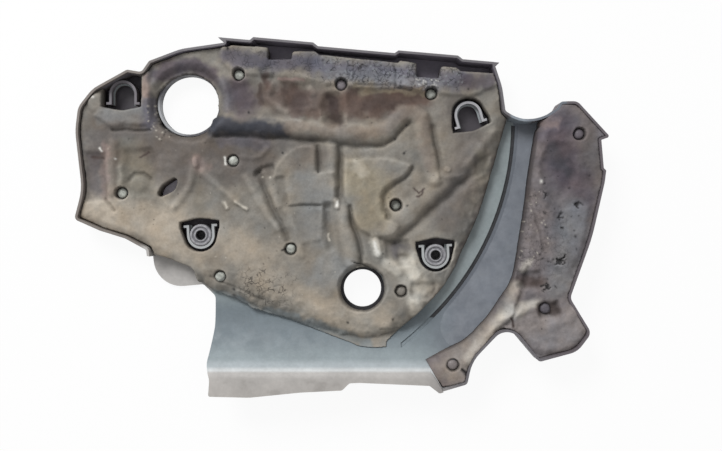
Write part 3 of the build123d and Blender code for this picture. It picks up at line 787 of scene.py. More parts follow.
mainPlan = {
    **padPlan,
    "name": "mainFoam", "node": "main_foam_pad", "seed": 3, "plain": "foam",
    "top": 21.3, "edgeLevel": 16.0, "holeLevel": 8.0,
    "edgeRound": 1.6, "swell": 0.0, "nibble": 0.5, "fleckRise": 0.4, "thinTone": ("cove", -70.0, -12.0),
    "lips": [{"centre": np.array([-160.0, 117.5]), "first": -50, "last": 165, "fade": 25, "reach": 3.6,
              "near": 8, "collar": 34.2, "level": 12.3}],
    "tapers": {   # drop at the edge, width and path of the edge
        "channelEdge": (11.0, 22, [(511, 116), (503, 145), (490, 185), (478, 217), (463, 252), (447, 285),
            (425, 317), (395, 341)]),
        "apronEdge": (14.0, 26, [(212, 292), (233, 299), (280, 318), (340, 340), (390, 347)]),
        "lowerLeftEdge": (5.0, 12, [(80, 222), (110, 235), (140, 245), (148, 255), (172, 260), (195, 273),
            (204, 290)]),
    },
    "flecks": [("coal", 46, 0.7, [(100, 130), (200, 130), (300, 200), (300, 300), (200, 280), (100, 220)]),
               ("cream", 26, 0.6, [(100, 140), (250, 150), (420, 250), (380, 330), (240, 290), (100, 220)]),
               ("coal", 34, 0.7, [(230, 60), (480, 84), (460, 230), (400, 330), (300, 300), (250, 160)]),
               ("cream", 30, 0.9, rubble),
               ("coal", 31, 1.0, rubble),
               ("chalk", 24, 1.0, [(416, 80), (438, 80), (439, 87), (417, 88)]),
               ("mist", 150, 1.1, [(320, 58), (398, 64), (462, 70), (462, 84), (430, 90), (390, 84),
                   (345, 82), (320, 77)]),
               ("coal", 60, 0.9, [(320, 60), (398, 66), (462, 72), (462, 86), (430, 91), (390, 86),
                   (345, 84), (320, 79)])],
    "stars": [],
    "studSeat": lambda centre: 12.2 if np.hypot(centre[0] - 58.5, centre[1] - 11) < 3 else 16.2,
    "waves": [(60, 0.9), (24, 0.8), (10, 0.4), (4.5, 0.18)],
    "tears": [((146, 253), 12, 3.0), ((205, 84), 5, 2.0), ((217, 114), 8, 2.5), ((160, 130), 14, 1.5),
              ((250, 310), 20, 2.0), ((388, 345), 14, 2.0), ((378, 275), 12, 2.0), ((228, 46), 4, 4.0)],
    "fields": {   # rise, draft and corners
        "rearLedge": (3.0, 2.4, [(222, 40), (500, 62), (500, 86), (470, 96), (425, 92), (396, 88),
            (345, 87), (318, 82), (290, 77), (262, 76), (232, 73), (222, 62)]),
        "plumRecess": (-3.0, 9.0, [(228, 83), (258, 80), (262, 90), (259, 104), (250, 111), (236, 111),
            (227, 104)]),
        "cornerDip": (-2.5, 2.5, [(260, 74), (275, 74), (272, 81), (266, 90)]),
        "boxRecess": (-3.2, 7.0, [(282, 83), (307, 85), (308, 107), (284, 108)]),
        "bandDip": (-2.0, 3.0, [(287, 110), (318, 109), (320, 118), (302, 120), (288, 116)]),
        "ovalRecess": (-4.5, 8.0, [(325, 95), (340, 92), (345, 104), (344, 123), (335, 128), (324, 123),
            (321, 106)]),
        "brownField": (-2.6, 8.0, [(346, 89), (398, 91), (430, 96), (436, 104), (420, 101), (404, 103),
            (393, 111), (386, 121), (350, 122), (346, 108)]),
        "brownPit": (-1.4, 5.0, [(347, 93), (358, 94), (357, 108), (347, 108)]),
        "plateau": (4.2, 2.8, [(343, 160), (366, 158), (400, 160), (412, 164), (412, 168), (404, 177),
            (394, 184), (386, 191), (383, 200), (385, 210), (390, 219), (400, 226), (396, 236), (372, 238),
            (361, 230), (350, 208), (343, 196)]),
        "panel": (3.2, 2.6, [(285, 178), (292, 175), (318, 171), (334, 173), (335, 203), (306, 204),
            (287, 206)]),
        "lowerPanel": (1.8, 2.6, [(288, 207), (321, 206), (322, 240), (303, 244), (294, 228)]),
        "darkBox": (-3.0, 1.8, [(323, 201), (330, 201), (330, 209), (323, 209)]),
        "shoulder": (3.2, 3.0, [(272, 178), (276, 168), (284, 156), (291, 149), (301, 145), (313, 145),
            (316, 150), (315, 171), (290, 176)]),
        "shelf": (2.8, 3.0, [(94, 115), (105, 109), (135, 106), (143, 97), (149, 98), (151, 125),
            (110, 126)]),
        "oliveRecess": (-2.6, 8.0, [(125, 150), (152, 148), (158, 170), (152, 195), (126, 194)]),
        "sideStrip": (-3.0, 6.0, [(84, 152), (104, 152), (105, 180), (108, 198), (86, 200)]),
        "tabRecess": (-3.5, 3.0, [(386, 240), (410, 240), (408, 258), (398, 262), (386, 258)]),
        "patchDip": (-2.5, 2.5, [(398, 255), (410, 254), (411, 264), (399, 266)]),
        "taupeDip": (-3.0, 3.5, [(412, 283), (436, 282), (437, 294), (426, 301), (413, 299)]),
        "oliveDip": (-2.5, 4.0, [(474, 157), (490, 154), (486, 172), (474, 177)]),
        "leftHollow": (-1.8, 7.0, [(205, 140), (252, 139), (262, 149), (246, 164), (212, 160)]),
    },
    "rolls": {    # radius, rise and path
        "hoseRoll": (11.5, 6.5, [(214, 124), (250, 124.5), (284, 126), (310, 129), (340, 132), (372, 134),
            (386, 131), (395, 121), (402, 114), (412, 112), (420, 117), (423, 130), (426, 150), (434, 176)]),
        "taupeRidge": (5.5, 2.8, [(268, 82), (270, 98), (281, 109), (300, 119)]),
        "boxLip": (3.6, 1.2, [(279, 79), (305, 81)]),
        "oliveLip": (4.2, 1.8, [(307, 80), (326, 85)]),
        "wedge": (4.0, 1.8, [(243, 158), (260, 156), (268, 148)]),
        "upperTube": (7.5, 4.2, [(331, 146), (331, 170)]),
        "shoulderCrest": (3.2, 1.3, [(275, 170), (283, 157), (290, 149), (300, 146), (312, 146)]),
        "lowerTube": (10.0, 5.5, [(342, 212), (346, 236), (352, 262)]),
        "ribLine": (2.6, 1.6, [(321, 207), (322, 226)]),
        "slantRoll": (16.0, 5.0, [(474, 150), (455, 168), (436, 186), (412, 208), (392, 232)]),
        "barRoll": (3.6, 1.6, [(446, 177), (464, 175)]),
        "paleStrip": (7.0, 2.2, [(494, 131), (480, 150), (467, 164)]),
        "pinkRidge": (5.5, 2.8, [(246, 178), (256, 197), (268, 215), (278, 228)]),
        "beigeBand": (8.0, 2.4, [(271, 180), (277, 204)]),
        "leftRidge": (4.8, 2.2, [(286, 210), (296, 235), (303, 255)]),
        "sideColumn": (7.5, 3.2, [(112, 142), (111, 165), (112, 190)]),
        "sideRidge": (3.6, 2.2, [(121, 168), (121, 190)]),
        "vRidgeLeft": (6.0, 2.8, [(196, 160), (194, 172), (188, 188), (174, 206)]),
        "vRidgeRight": (5.0, 2.2, [(203, 171), (220, 188), (238, 203)]),
        "foldRoll": (3.2, 1.4, [(340, 200), (350, 206)]),
    },
    "grooves": {  # half width, depth and path
        "hoseShadow": (2.8, 3.0, [(214, 136), (250, 136), (282, 138), (326, 142), (352, 146), (384, 145),
            (395, 138), (402, 128), (408, 122)]),
        "hoseRight": (3.0, 3.0, [(434, 126), (437, 150), (440, 178)]),
        "shoulderGap": (3.0, 3.5, [(318, 147), (319, 170)]),
        "tubeShadow": (3.4, 4.0, [(340, 148), (339, 175), (339, 199)]),
        "lowerShadow": (2.6, 3.6, [(350, 207), (353, 222), (358, 240), (361, 262)]),
        "tubeValley": (4.4, 3.2, [(327, 213), (330, 246)]),
        "studGroove": (3.0, 3.4, [(412, 168), (405, 176), (395, 183), (386, 190), (383, 197), (384, 208),
            (389, 217)]),
        "slantShadow": (4.4, 3.6, [(470, 176), (440, 202), (412, 229), (395, 241)]),
        "panelGroove": (3.4, 3.6, [(258, 172), (262, 185), (270, 203), (280, 222), (287, 240)]),
        "panelArc": (2.4, 2.4, [(255, 175), (262, 168), (272, 167)]),
        "stepLine": (1.2, 1.2, [(288, 205.5), (320, 204)]),
        "bossRing": (2.0, 2.0, [(129, 181), (134, 175), (144, 174), (150, 179)]),
        "shelfLine": (1.6, 2.2, [(112, 129), (135, 131), (151, 130)]),
        "sideCrease": (1.6, 2.2, [(105, 198), (115, 210)]),
        "lowCrease": (1.4, 1.4, [(210, 276), (240, 290), (262, 300)]),
        "edgeLineA": (1.1, 1.2, [(380, 331), (404, 328), (424, 319)]),
        "edgeLineB": (1.1, 1.2, [(382, 337), (402, 334), (418, 326)]),
        "holeCrack": (1.3, 1.2, [(352, 262), (362, 264), (375, 271), (381, 280)]),
        "rubbleCrack": (1.4, 2.4, [(160, 123), (165, 128), (171, 131)]),
        "ledgeFront": (1.6, 1.4, [(355, 85), (395, 86)]),
        "blockEdge": (1.2, 1.6, [(394, 64), (395, 88), (410, 91)]),
    },
    "lumps": {    # radius, rise and path
        "knob": (3.0, 3.4, [(337, 200.5), (337, 207)]),
        "tab": (4.6, 3.4, [(376, 242), (378, 254)]),
        "boss": (8.0, 3.2, [(95, 99), (97, 105)]),
        "roundBoss": (9.0, 2.8, [(138, 184)]),
        "creamA": (6.5, 2.6, [(389, 265), (397, 271)]),
        "creamB": (7.5, 3.2, [(410, 265), (415, 275)]),
        "creamC": (7.0, 2.6, [(414, 303), (418, 312)]),
        "nubA": (2.4, 1.8, [(224, 203), (227, 208)]),
        "nubB": (2.2, 1.6, [(236, 202), (247, 209)]),
        "nubC": (3.0, 1.5, [(195, 160), (196, 165)]),
        "slantNub": (2.8, 2.0, [(446, 169), (448, 170)]),
        "ledgeNubA": (8.0, 2.0, [(260, 54), (260, 63)]),
        "ledgeNubB": (8.5, 2.0, [(302, 57), (302, 62)]),
        "ledgeBlockA": (9.0, 2.0, [(407, 69), (407, 81)]),
        "ledgeBlockB": (7.0, 1.8, [(420, 85), (433, 86)]),
        "ledgeBlockC": (8.0, 1.8, [(449, 73), (450, 79)]),
        "palePatch": (8.0, 1.4, [(163, 162), (172, 163)]),
        "paleCorner": (4.0, 1.6, [(311, 90), (313, 93)]),
        "pinkColumn": (5.0, 2.4, [(145, 74), (145, 92)]),
    },
    "bowls": [((187.5, 103), 34.5, 5.5, 9.0), ((362, 288), 23.0, 3.0, 4.0)],
    "crumbled": [(5.0, 0.9, 0.9, [(318, 54), (400, 60), (462, 68), (462, 86), (430, 91), (390, 86),
        (345, 84), (320, 78)]), (8.5, 0.55, 0.6, [(240, 270), (268, 270), (292, 280), (290, 303),
        (256, 304), (240, 290)])],
    "cracked": [  # strength and corners of the zones with fine cracks
        (1.0, [(318, 52), (400, 58), (464, 66), (464, 86), (430, 92), (390, 86), (345, 85), (320, 80)]),
        (0.6, [(226, 44), (318, 52), (320, 78), (262, 72), (228, 66)]),
        (1.0, [(240, 268), (268, 268), (294, 278), (292, 304), (256, 305), (240, 292)]),
    ],
    "strokes": [  # tone, strength, reach and path
        ("taupe", 0.95, 34, [(108, 140), (150, 140), (200, 146), (250, 148)]),
        ("taupe", 0.6, 16, [(150, 165), (180, 178)]),
        ("taupe", 0.6, 8, [(262, 142), (310, 144)]),
        ("brown", 0.8, 16, [(268, 96), (300, 100), (340, 104), (400, 104)]),
        ("taupe", 0.6, 16, [(230, 172), (246, 160)]),
        ("olive", 0.6, 14, [(128, 150), (130, 185)]),
        ("plum", 0.5, 9, [(93, 158), (94, 192)]),
        ("rose", 0.6, 5, [(106, 145), (105, 196)]),
        ("hose", 0.6, 6, [(113, 145), (113, 190)]),
        ("olive", 0.6, 13, [(138, 165), (142, 190)]),
        ("taupe", 0.5, 14, [(185, 168), (196, 180)]),
        ("mist", 0.4, 9, [(104, 117), (142, 112)]),
        ("slate", 0.8, 8, [(148, 122), (147, 98)]),
        ("rose", 0.7, 5, [(145, 74), (145, 90)]),
        # plum over the top of the filler's bowl is painted shade
        ("plum", 0.85, 9, [(156, 76), (172, 67), (190, 65), (212, 76)]),
        ("slate", 0.6, 8, [(222, 84), (228, 104)]),
        ("sand", 0.85, 18, [(84, 210), (130, 216), (165, 224)]),
        ("sand", 0.7, 20, [(170, 220), (172, 250), (190, 258)]),
        ("sand", 0.4, 20, [(205, 232), (240, 245), (262, 262)]),
        ("rose", 0.5, 8, [(196, 162), (203, 168)]),
        ("olive", 0.4, 9, [(196, 182), (202, 205)]),
        ("soot", 1.0, 10, [(214, 126), (240, 127), (282, 130)]),
        ("slate", 0.5, 7, [(222, 142), (262, 143)]),
        ("plum", 0.9, 14, [(238, 88), (244, 104)]),
        ("umber", 0.8, 4, [(258, 86), (258, 102)]),
        ("brown", 0.9, 5, [(266, 76), (267, 86)]),
        ("brown", 0.95, 11, [(290, 92), (299, 100)]),
        ("umber", 0.55, 9, [(292, 90), (299, 103)]),
        ("brown", 0.7, 5, [(294, 113), (316, 113)]),
        ("maroon", 0.9, 9, [(332, 99), (334, 121)]),
        ("brown", 0.95, 13, [(352, 100), (380, 104), (400, 98), (424, 99)]),
        ("umber", 0.5, 8, [(368, 104), (392, 104)]),
        ("hose", 0.75, 8, [(290, 127), (320, 130), (372, 134), (390, 126), (402, 112), (416, 111),
            (424, 124), (430, 165)]),
        ("slate", 0.92, 10, [(228, 58), (262, 62), (310, 64)]),
        ("ledgeGrey", 0.95, 11, [(322, 68), (395, 75), (440, 80), (462, 80)]),
        ("plum", 0.75, 9, [(466, 82), (490, 80)]),
        ("mist", 0.3, 6, [(330, 73), (395, 79), (440, 85)]),
        ("ochre", 0.5, 3, [(355, 89), (395, 90), (425, 93)]),
        ("taupe", 0.75, 20, [(458, 112), (470, 140), (462, 180), (448, 215)]),
        ("olive", 0.6, 10, [(482, 158), (480, 172)]),
        ("taupe", 0.6, 13, [(300, 160), (318, 155)]),
        ("taupe", 0.5, 8, [(268, 160), (262, 176)]),
        ("ochre", 0.75, 20, [(358, 178), (376, 190), (372, 215)]),
        ("cream", 0.4, 6, [(358, 167), (364, 172)]),
        ("mist", 0.35, 16, [(305, 185), (318, 195), (312, 235)]),
        ("mist", 0.45, 14, [(330, 262), (316, 280), (345, 270)]),
        ("slate", 0.55, 9, [(396, 250), (404, 256)]),
        ("taupe", 0.75, 9, [(420, 288), (430, 294)]),
        ("cream", 0.7, 5, [(375, 242), (377, 254)]),
        ("cream", 0.85, 11, [(408, 262), (416, 276), (422, 290)]),
        ("cream", 0.7, 9, [(414, 300), (419, 314)]),
        ("cream", 0.6, 9, [(388, 264), (398, 274)]),
        ("cream", 0.5, 4, [(458, 244), (452, 270), (442, 290), (430, 308)]),
        ("sand", 0.3, 18, [(236, 248), (258, 262), (280, 290)]),
        ("sand", 0.75, 17, [(306, 300), (340, 318), (382, 322)]),
        ("cove", 0.8, 6, [(216, 293), (246, 309), (290, 318), (330, 331), (368, 346)]),
        # umber along the channel edge is painted shade on the foam's wall
        ("umber", 0.45, 4, [(510, 120), (502, 146), (490, 184), (478, 216), (463, 251), (447, 284),
            (426, 316)]),
    ],
    "marks": [    # tone, reach and path of fine spots
        ("coal", 1.3, [(249, 112)]), ("coal", 1.3, [(283, 153)]), ("coal", 1.4, [(395, 139)]),
        ("coal", 1.2, [(404, 153)]), ("coal", 1.2, [(318, 172)]), ("coal", 1.6, [(233, 290)]),
        ("coal", 1.4, [(232, 297), (236, 300)]), ("coal", 1.3, [(407, 206)]), ("coal", 1.2, [(468, 89)]),
        ("coal", 1.2, [(407, 125)]), ("coal", 1.2, [(348, 323)]), ("coal", 1.2, [(393, 320)]),
        ("coal", 1.4, [(227, 43), (229, 50)]), ("coal", 1.0, [(282, 250), (286, 249)]),
        ("coal", 0.7, [(354, 263), (362, 264), (375, 271), (381, 280)]),
        ("coal", 1.3, [(160, 123), (165, 128), (171, 131)]),
        ("umber", 1.0, [(414, 188), (418, 193), (424, 189), (421, 195), (417, 197)]),
        # the chalk spot on the knob is a painted highlight
        ("chalk", 1.4, [(337, 202), (337, 206)]), ("cream", 1.2, [(225, 203), (227, 208)]),
        ("cream", 1.0, [(236, 202), (247, 209)]), ("chalk", 1.0, [(100, 148), (102, 151)]),
        ("chalk", 0.9, [(116, 159)]), ("chalk", 1.8, [(375, 243), (377, 252)]),
        ("chalk", 1.0, [(224, 157), (226, 164)]),
        # the two cream spots at the panel's left edge are painted highlights
        ("cream", 1.0, [(262, 177)]), ("cream", 1.0, [(270, 178)]), ("umber", 1.2, [(148, 152), (140, 157)]),
        # the chalk spot on the boss is a painted highlight
        ("umber", 1.4, [(91, 157), (104, 158)]), ("chalk", 1.4, [(92, 96), (94, 97)]),
        # the cream spot in the rib's valley is a painted glint
        ("cream", 0.9, [(328, 234), (329, 241)]), ("cream", 1.0, [(357, 268), (368, 271), (378, 278)]),
        ("rose", 1.4, [(279, 79), (304, 80)]),
    ],
}

wingPlan = {
    **padPlan,
    "name": "wingFoam", "node": "wing_foam_pad", "seed": 61, "plain": "wingGrey",
    "top": 36.3, "edgeLevel": 22.3, "holeLevel": 22.3,
    "edgeRound": 0.8, "swell": 0.5, "nibble": 0.4, "fleckRise": 0.5, "thinTone": None, "lips": [],
    "tapers": {
        "innerEdge": (11.0, 22, [(540, 119), (533, 150), (527, 185), (520, 235), (513, 270), (500, 300),
            (478, 325), (455, 345), (424, 360)]),
        "lowerEdge": (4.0, 10, [(500, 334), (520, 339), (533, 352), (545, 358), (572, 352), (588, 338)]),
    },
    "flecks": [("coal", 30, 0.9, [(526, 190), (548, 190), (552, 250), (536, 268), (516, 262)]),
               ("cream", 46, 0.8, [(524, 190), (546, 190), (550, 250), (536, 268), (514, 262)]),
               ("coal", 40, 0.8, [(545, 130), (600, 140), (580, 270), (560, 340), (500, 330), (530, 200)]),
               ("coal", 16, 1.6, [(546, 185), (586, 190), (578, 250), (566, 300), (540, 292), (536, 230)])],
    # place, reach, depth and count of the spokes of each torn star
    "stars": [((560, 261), 6.5, 3.0, 6), ((546, 287), 3.4, 2.2, 4), ((578, 205), 4.0, 2.2, 4),
              ((560, 217), 3.2, 1.8, 4), ((563, 228), 3.0, 1.8, 3), ((545, 195), 3.0, 1.8, 3)],
    "studSeat": lambda centre: 31.2,
    "waves": [(40, 0.9), (16, 0.8), (7, 0.4), (4, 0.2)],
    "tears": [((540, 120), 12, 2.0), ((442, 387), 10, 2.0), ((506, 332), 10, 1.5)],
    "fields": {
        "upperHollow": (-3.0, 7.0, [(545, 143), (572, 143), (576, 178), (560, 200), (546, 196), (542, 165)]),
        "slot": (-5.5, 3.0, [(537, 303), (558, 301), (561, 313), (540, 317)]),
        "darkRecess": (-3.5, 3.5, [(517, 272), (541, 271), (541, 287), (518, 288)]),
        "midRise": (2.0, 6.0, [(548, 210), (590, 205), (582, 250), (566, 275), (550, 262)]),
    },
    "rolls": {
        "innerRoll": (9.0, 3.0, [(519, 270), (514, 292), (506, 312), (494, 326), (480, 342), (468, 360)]),
        "creamRidge": (8.0, 3.0, [(505, 318), (520, 312), (535, 304)]),
        "longRidge": (9.0, 2.4, [(545, 130), (537, 165), (532, 205), (527, 250)]),
        "lowerRidge": (9.0, 2.2, [(548, 326), (568, 318), (578, 306)]),
    },
    "grooves": {
        "ridgeCrack": (1.0, 1.8, [(511, 318), (514, 327)]),
        "crustLine": (1.4, 1.4, [(530, 195), (538, 222), (544, 250)]),
        "rollFoot": (2.6, 2.4, [(528, 268), (523, 292), (514, 314), (503, 330)]),
        "lugSlit": (1.6, 2.4, [(462, 370), (468, 375)]),
    },
    "lumps": {"brightNub": (2.2, 1.4, [(541, 180), (543, 182)])},
    "bowls": [],
    "crumbled": [(6.0, 0.7, 0.6, [(524, 190), (546, 190), (550, 250), (538, 268), (514, 262)])],
    "cracked": [(0.35, [(522, 188), (548, 188), (566, 215), (572, 262), (552, 292), (512, 264)])],
    "strokes": [
        ("plum", 0.85, 20, [(556, 128), (560, 150), (568, 176)]),
        ("soot", 0.7, 9, [(552, 150), (566, 168)]),
        ("rose", 0.6, 6, [(540, 121), (556, 121)]),
        ("taupe", 0.5, 12, [(590, 140), (592, 180)]),
        ("plum", 0.6, 12, [(586, 180), (582, 212)]),
        ("soot", 0.5, 8, [(548, 200), (556, 214), (560, 232)]),
        ("plum", 0.5, 9, [(576, 246), (570, 268)]),
        ("mist", 0.45, 16, [(575, 215), (565, 265), (558, 285)]),
        ("wingPale", 0.8, 24, [(572, 330), (550, 336), (520, 325)]),
        ("cream", 0.5, 7, [(505, 316), (520, 311), (534, 303)]),
        ("cream", 0.45, 5, [(527, 262), (527, 268)]),
        ("umber", 0.8, 7, [(522, 279), (537, 280)]),
        ("umber", 0.7, 6, [(542, 309), (556, 309)]),
        ("sand", 0.35, 18, [(455, 368), (470, 350), (490, 330)]),
        ("cream", 0.3, 6, [(517, 285), (506, 312), (486, 336), (470, 356)]),
    ],
    "marks": [
        ("chalk", 1.4, [(542, 181)]), ("coal", 1.4, [(462, 370), (468, 375)]),
        ("umber", 1.0, [(511, 318), (514, 327)]),
    ],
}


foamFinish = foamMaterial("soiledFoam")
headPlaces = []
for plan in (mainPlan, wingPlan):
    pad, studs = foamPad(plan)
    pad.data.materials.append(foamFinish)
    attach(pad, "root")
    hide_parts(plan["node"])
    headPlaces += [(x, y, plan["studSeat"]((x, y)) + 0.1) for x, y in studs]


# turned rubber grommets in the two U brackets
grommetPlan = {
    "nodes": ("left_grommet", "right_grommet"),
    "sides": 64,
    # radius and height over the foot of the grommet, from the outer foot to the floor of the bore
    "profile": [(10.6, 0.0), (11.6, 0.6), (11.6, 4.6), (10.4, 5.2), (10.4, 8.2), (11.6, 8.8), (11.6, 13.2),
                (11.2, 14.2), (10.2, 14.8), (9.4, 14.9), (8.9, 14.4), (8.4, 13.6), (7.6, 13.4), (7.1, 13.7),
                (6.8, 14.4), (6.2, 14.8), (5.4, 14.7), (4.8, 14.0), (4.5, 13.0), (4.5, 4.2), (4.2, 4.0)],
    "bore": (5.4, 0.8), "groove": ((8.9, 1.0), (6.9, 0.8)),    # radius and fade of the painted shade in the bore and the groove
    "rubber": ((132, 131, 136), (164, 164, 167)), "grooveShade": (86, 85, 90),
    "dust": (3.0, 4.0), "gloss": (2.0,), "skin": (0.8, 4.0),    # size and detail of the clouds
}


def addBands(bm, rings):
    # quads between rings of points, and flat faces at both ends
    for lower, upper in zip(rings[:-1], rings[1:]):
        for k in range(len(lower)):
            j = (k + 1) % len(lower)
            bm.faces.new((lower[k], lower[j], upper[j], upper[k]))
    bm.faces.new(rings[-1])
    bm.faces.new(rings[0][::-1])


def finished(bm, name):
    mesh = bpy.data.meshes.new(name)
    bm.to_mesh(mesh)
    bm.free()
    return linked(name, mesh)


def turnedPiece(name, plan, centre, foot):
    bm = bmesh.new()
    rings = []
    for radius, height in plan["profile"]:
        ring = []
        for k in range(plan["sides"]):
            turn = 2 * math.pi * k / plan["sides"]
            ring.append(bm.verts.new(((centre[0] + radius * math.cos(turn)) * mm,
                                      (centre[1] + radius * math.sin(turn)) * mm, (foot + height) * mm)))
        rings.append(ring)
    addBands(bm, rings)
    bmesh.ops.recalc_face_normals(bm, faces=bm.faces)
    piece = finished(bm, name)
    for face in piece.data.polygons:
        face.use_smooth = len(face.vertices) == 4
    return piece


def rubberMaterial(name, centre):
    plan = grommetPlan
    material, paint = newMaterial(name)
    # the bore and the groove are darkened as painted shade
    body = paint.disc(centre, *plan["bore"])
    groove = paint.minus(*[paint.disc(centre, *band) for band in plan["groove"]])
    dust = paint.spread(paint.cloud(*plan["dust"]), 0.3, 0.7)
    plain = paint.toned(dust, rgba(plan["rubber"][0]), plan["rubber"][1])
    plain = paint.toned(paint.calc("MULTIPLY", groove, 0.6, True), plain, plan["grooveShade"])
    paint.give("Base Color", paint.toned(paint.times(body, 0.96), plain, "coal"))
    paint.give("Roughness", paint.spread(paint.cloud(*plan["gloss"]), 0.3, 0.7, 0.5, 0.8))
    paint.bumped(paint.cloud(*plan["skin"]), 0.15, 0.3)
    return material


for nodeName in grommetPlan["nodes"]:
    low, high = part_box(nodeName)
    centre = ((low.x + high.x) / 2 / mm, (low.y + high.y) / 2 / mm)
    name = nodeName.split("_")[0] + "Grommet"
    grommet = turnedPiece(name, grommetPlan, centre, low.z / mm)
    grommet.data.materials.append(rubberMaterial(name + "Rubber", centre))
    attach(grommet, "root")
    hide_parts(nodeName)
    print(name, "at", [round(v, 1) for v in centre])


# melted heads over the moulded heat stakes
studPlan = {
    "radius": 5.3, "rise": 2.9, "skirt": 0.5, "rings": 7, "sides": 28, "seed": 17,
    "lean": 0.35, "uneven": (0.03, 0.025), "ripple": 0.12,       # how far from round and level a head is
    "tones": ((138, 140, 134), (184, 187, 179)), "soilReach": (9, 2),
    "dust": (3.5, 4.0), "gloss": (2.0,), "skin": (1.4, 4.0),
    # place and tone of the heads that are darker than the rest
    "soiled": [((211, -96), (84, 80, 86)), ((117, -154.5), (120, 113, 112)), ((247, 84), (96, 90, 96)),
               ((1, 137.5), (118, 112, 116)), ((64, -79.5), (128, 123, 116))],
}


def studHeads(name, plan, places):
    rng = np.random.default_rng(plan["seed"])
    oval, clover = plan["uneven"]
    bm = bmesh.new()
    for x, y, foot in places:
        lean = rng.uniform(-plan["lean"], plan["lean"], 2)
        wave = rng.uniform(0, 2 * math.pi, 3)
        rings = []
        for k in range(plan["rings"]):
            share = k / (plan["rings"] - 0.4)
            bow = share * math.pi / 2
            ring = []
            for s in range(plan["sides"]):
                turn = 2 * math.pi * s / plan["sides"]
                uneven = 1 + oval * math.sin(2 * turn + wave[0]) + clover * math.sin(3 * turn + wave[1])
                reach = plan["radius"] * uneven * math.cos(bow) ** 0.8
                rise = plan["rise"] * math.sin(bow) + plan["ripple"] * math.sin(4 * turn + wave[2]) * share
                across = x + reach * math.cos(turn) + lean[0] * share
                along = y + reach * math.sin(turn) + lean[1] * share
                ring.append(bm.verts.new((across * mm, along * mm, (foot + rise) * mm)))
            rings.append(ring)
        base = [bm.verts.new((v.co.x, v.co.y, v.co.z - plan["skirt"] * mm)) for v in rings[0]]
        addBands(bm, [base] + rings)
    heads = finished(bm, name)
    for face in heads.data.polygons:
        face.use_smooth = True
    return heads


def studMaterial(plan):
    material, paint = newMaterial("meltedStuds")
    dust = paint.spread(paint.cloud(*plan["dust"]), 0.32, 0.68)
    colour = paint.toned(dust, rgba(plan["tones"][0]), plan["tones"][1])
    for centre, tone in plan["soiled"]:
        colour = paint.toned(paint.disc(centre, *plan["soilReach"]), colour, tone)
    paint.give("Base Color", colour)
    paint.give("Roughness", paint.spread(paint.cloud(*plan["gloss"]), 0.3, 0.7, 0.42, 0.7))
    paint.bumped(paint.cloud(*plan["skin"]), 0.3, 0.4)
    return material


heads = studHeads("stakeHeads", studPlan, headPlaces)
heads.data.materials.append(studMaterial(studPlan))
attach(heads, "root")
print("stake heads", len(headPlaces))


# dusty moulded plastic of the cover, tinted by place, with painted shade in the pockets and on the filler's
# collar and painted light in the slot, on the collar's left side and along the apron's bend; places and
# levels in mm
shellPlan = {
    "stepCentre": (-106.0, 99.0),
    # reach round the step's centre, and fade
    "leftStrip": (291.0, 3.0), "mainSide": (300, 12), "stepWall": ((306, 4), (284, 4)),
    "strips": ((101, 106, 114), (140, 149, 151)), "channelWall": (136, 144, 152),
    "rim": (106, 103, 107), "rimLevels": (25.4, 37.4), "edgeFade": 0.4,
    "leftRim": ((-170, -215), (122, 115, 110)), "wingRim": ((205, 225), (98, 92, 96)),    # x range and tone
    # x, y, slope and width of the band under the rear rim, and the x range where it ends
    "rearLine": (-126.0, 181.0, -0.086, 25.0), "rearEnd": (172, 164), "rear": (112, 107, 118),
    # the dark floor of the bracket pockets is painted shade
    "pocketReach": (26.0, 4), "pocketLevels": (9, 5), "pocketShade": (74, 70, 76),
    "bracketReach": (15.5, 1), "bracketLevels": ((9, 14), (24, 20)),
    # place and colour of the U bracket in each pocket
    "pockets": [((-147, -20.5), (170, 173, 174)), ((100.5, -41.5), (170, 173, 174)),
                ((135, 106), (172, 172, 176)), ((-229, 128), (116, 112, 117))],
    # place, reach, level and colour of the collars round the two holes; the filler collar's dark tone is
    # painted shade
    "collars": [((-160, 117.5), 34.6, 12.6, (84, 83, 88)), ((23.5, -77.5), 23.4, 12.6, (40, 39, 42))],
    "fillerWall": ((-160, 117.5), 40, 2),
    # place, reach, fade and colour of pale spots; the slot's near-white floor and the collar's pale left
    # side are painted light
    "lobe": ((-172, -56), 42.0, 10, (178, 175, 172)),
    "slotLight": ((-186, 28), 15.0, 4, (232, 227, 240)),
    "litCollarSide": ((-178, 104), 22.0, 14, (168, 170, 173)),
    "smudge": ((-166.0, -171.0), (148, 144, 140)),    # y where the flange starts, and the tone of its stains
    "apron": ((-76, -104), (130, 82), (3, 44)),       # y and x over which it starts, and its levels
    # the brightest stop, at 0.86, is a painted highlight along the apron's bend
    "apronTones": [(0.0, (112, 122, 128)), (0.45, (136, 146, 150)), (0.72, (166, 174, 178)),
                   (0.86, (202, 205, 206)), (0.93, (174, 171, 168)), (1.0, (168, 164, 160))],
    "outward": (0.0, 20.0, (60.0, 75.0)),             # middle of the part, and how far off its walls are
    # size, detail and roughness of the clouds, and what dust and scuffs add to the shade
    "dust": (30.0, 5.0, 0.6), "scuff": (4.0, 5.0, 0.7), "stain": (16.0, 4.0, 0.6), "gloss": (12.0, 4.0),
    "skin": (1.0, 4.0, 0.6), "shade": (0.88, 0.16, 0.10),
    "styledLevels": (2.9, 2.5), "styled": ((38, 39, 42), (52, 53, 56)),
}


def apronRamp(paint, z, plan):
    # coved apron, painted highlight along the bend and warm flange by height
    node = paint.node("ValToRGB")
    paint.put(node.inputs[0], paint.fade(z, *plan["apron"][2]))
    ramp = node.color_ramp
    ramp.interpolation = "EASE"
    stops = plan["apronTones"]
    for element, (position, tone) in zip(ramp.elements, (stops[0], stops[-1])):
        element.position = position
        element.color = rgba(tone)
    for position, tone in stops[1:-1]:
        ramp.elements.new(position).color = rgba(tone)
    return node.outputs[0]


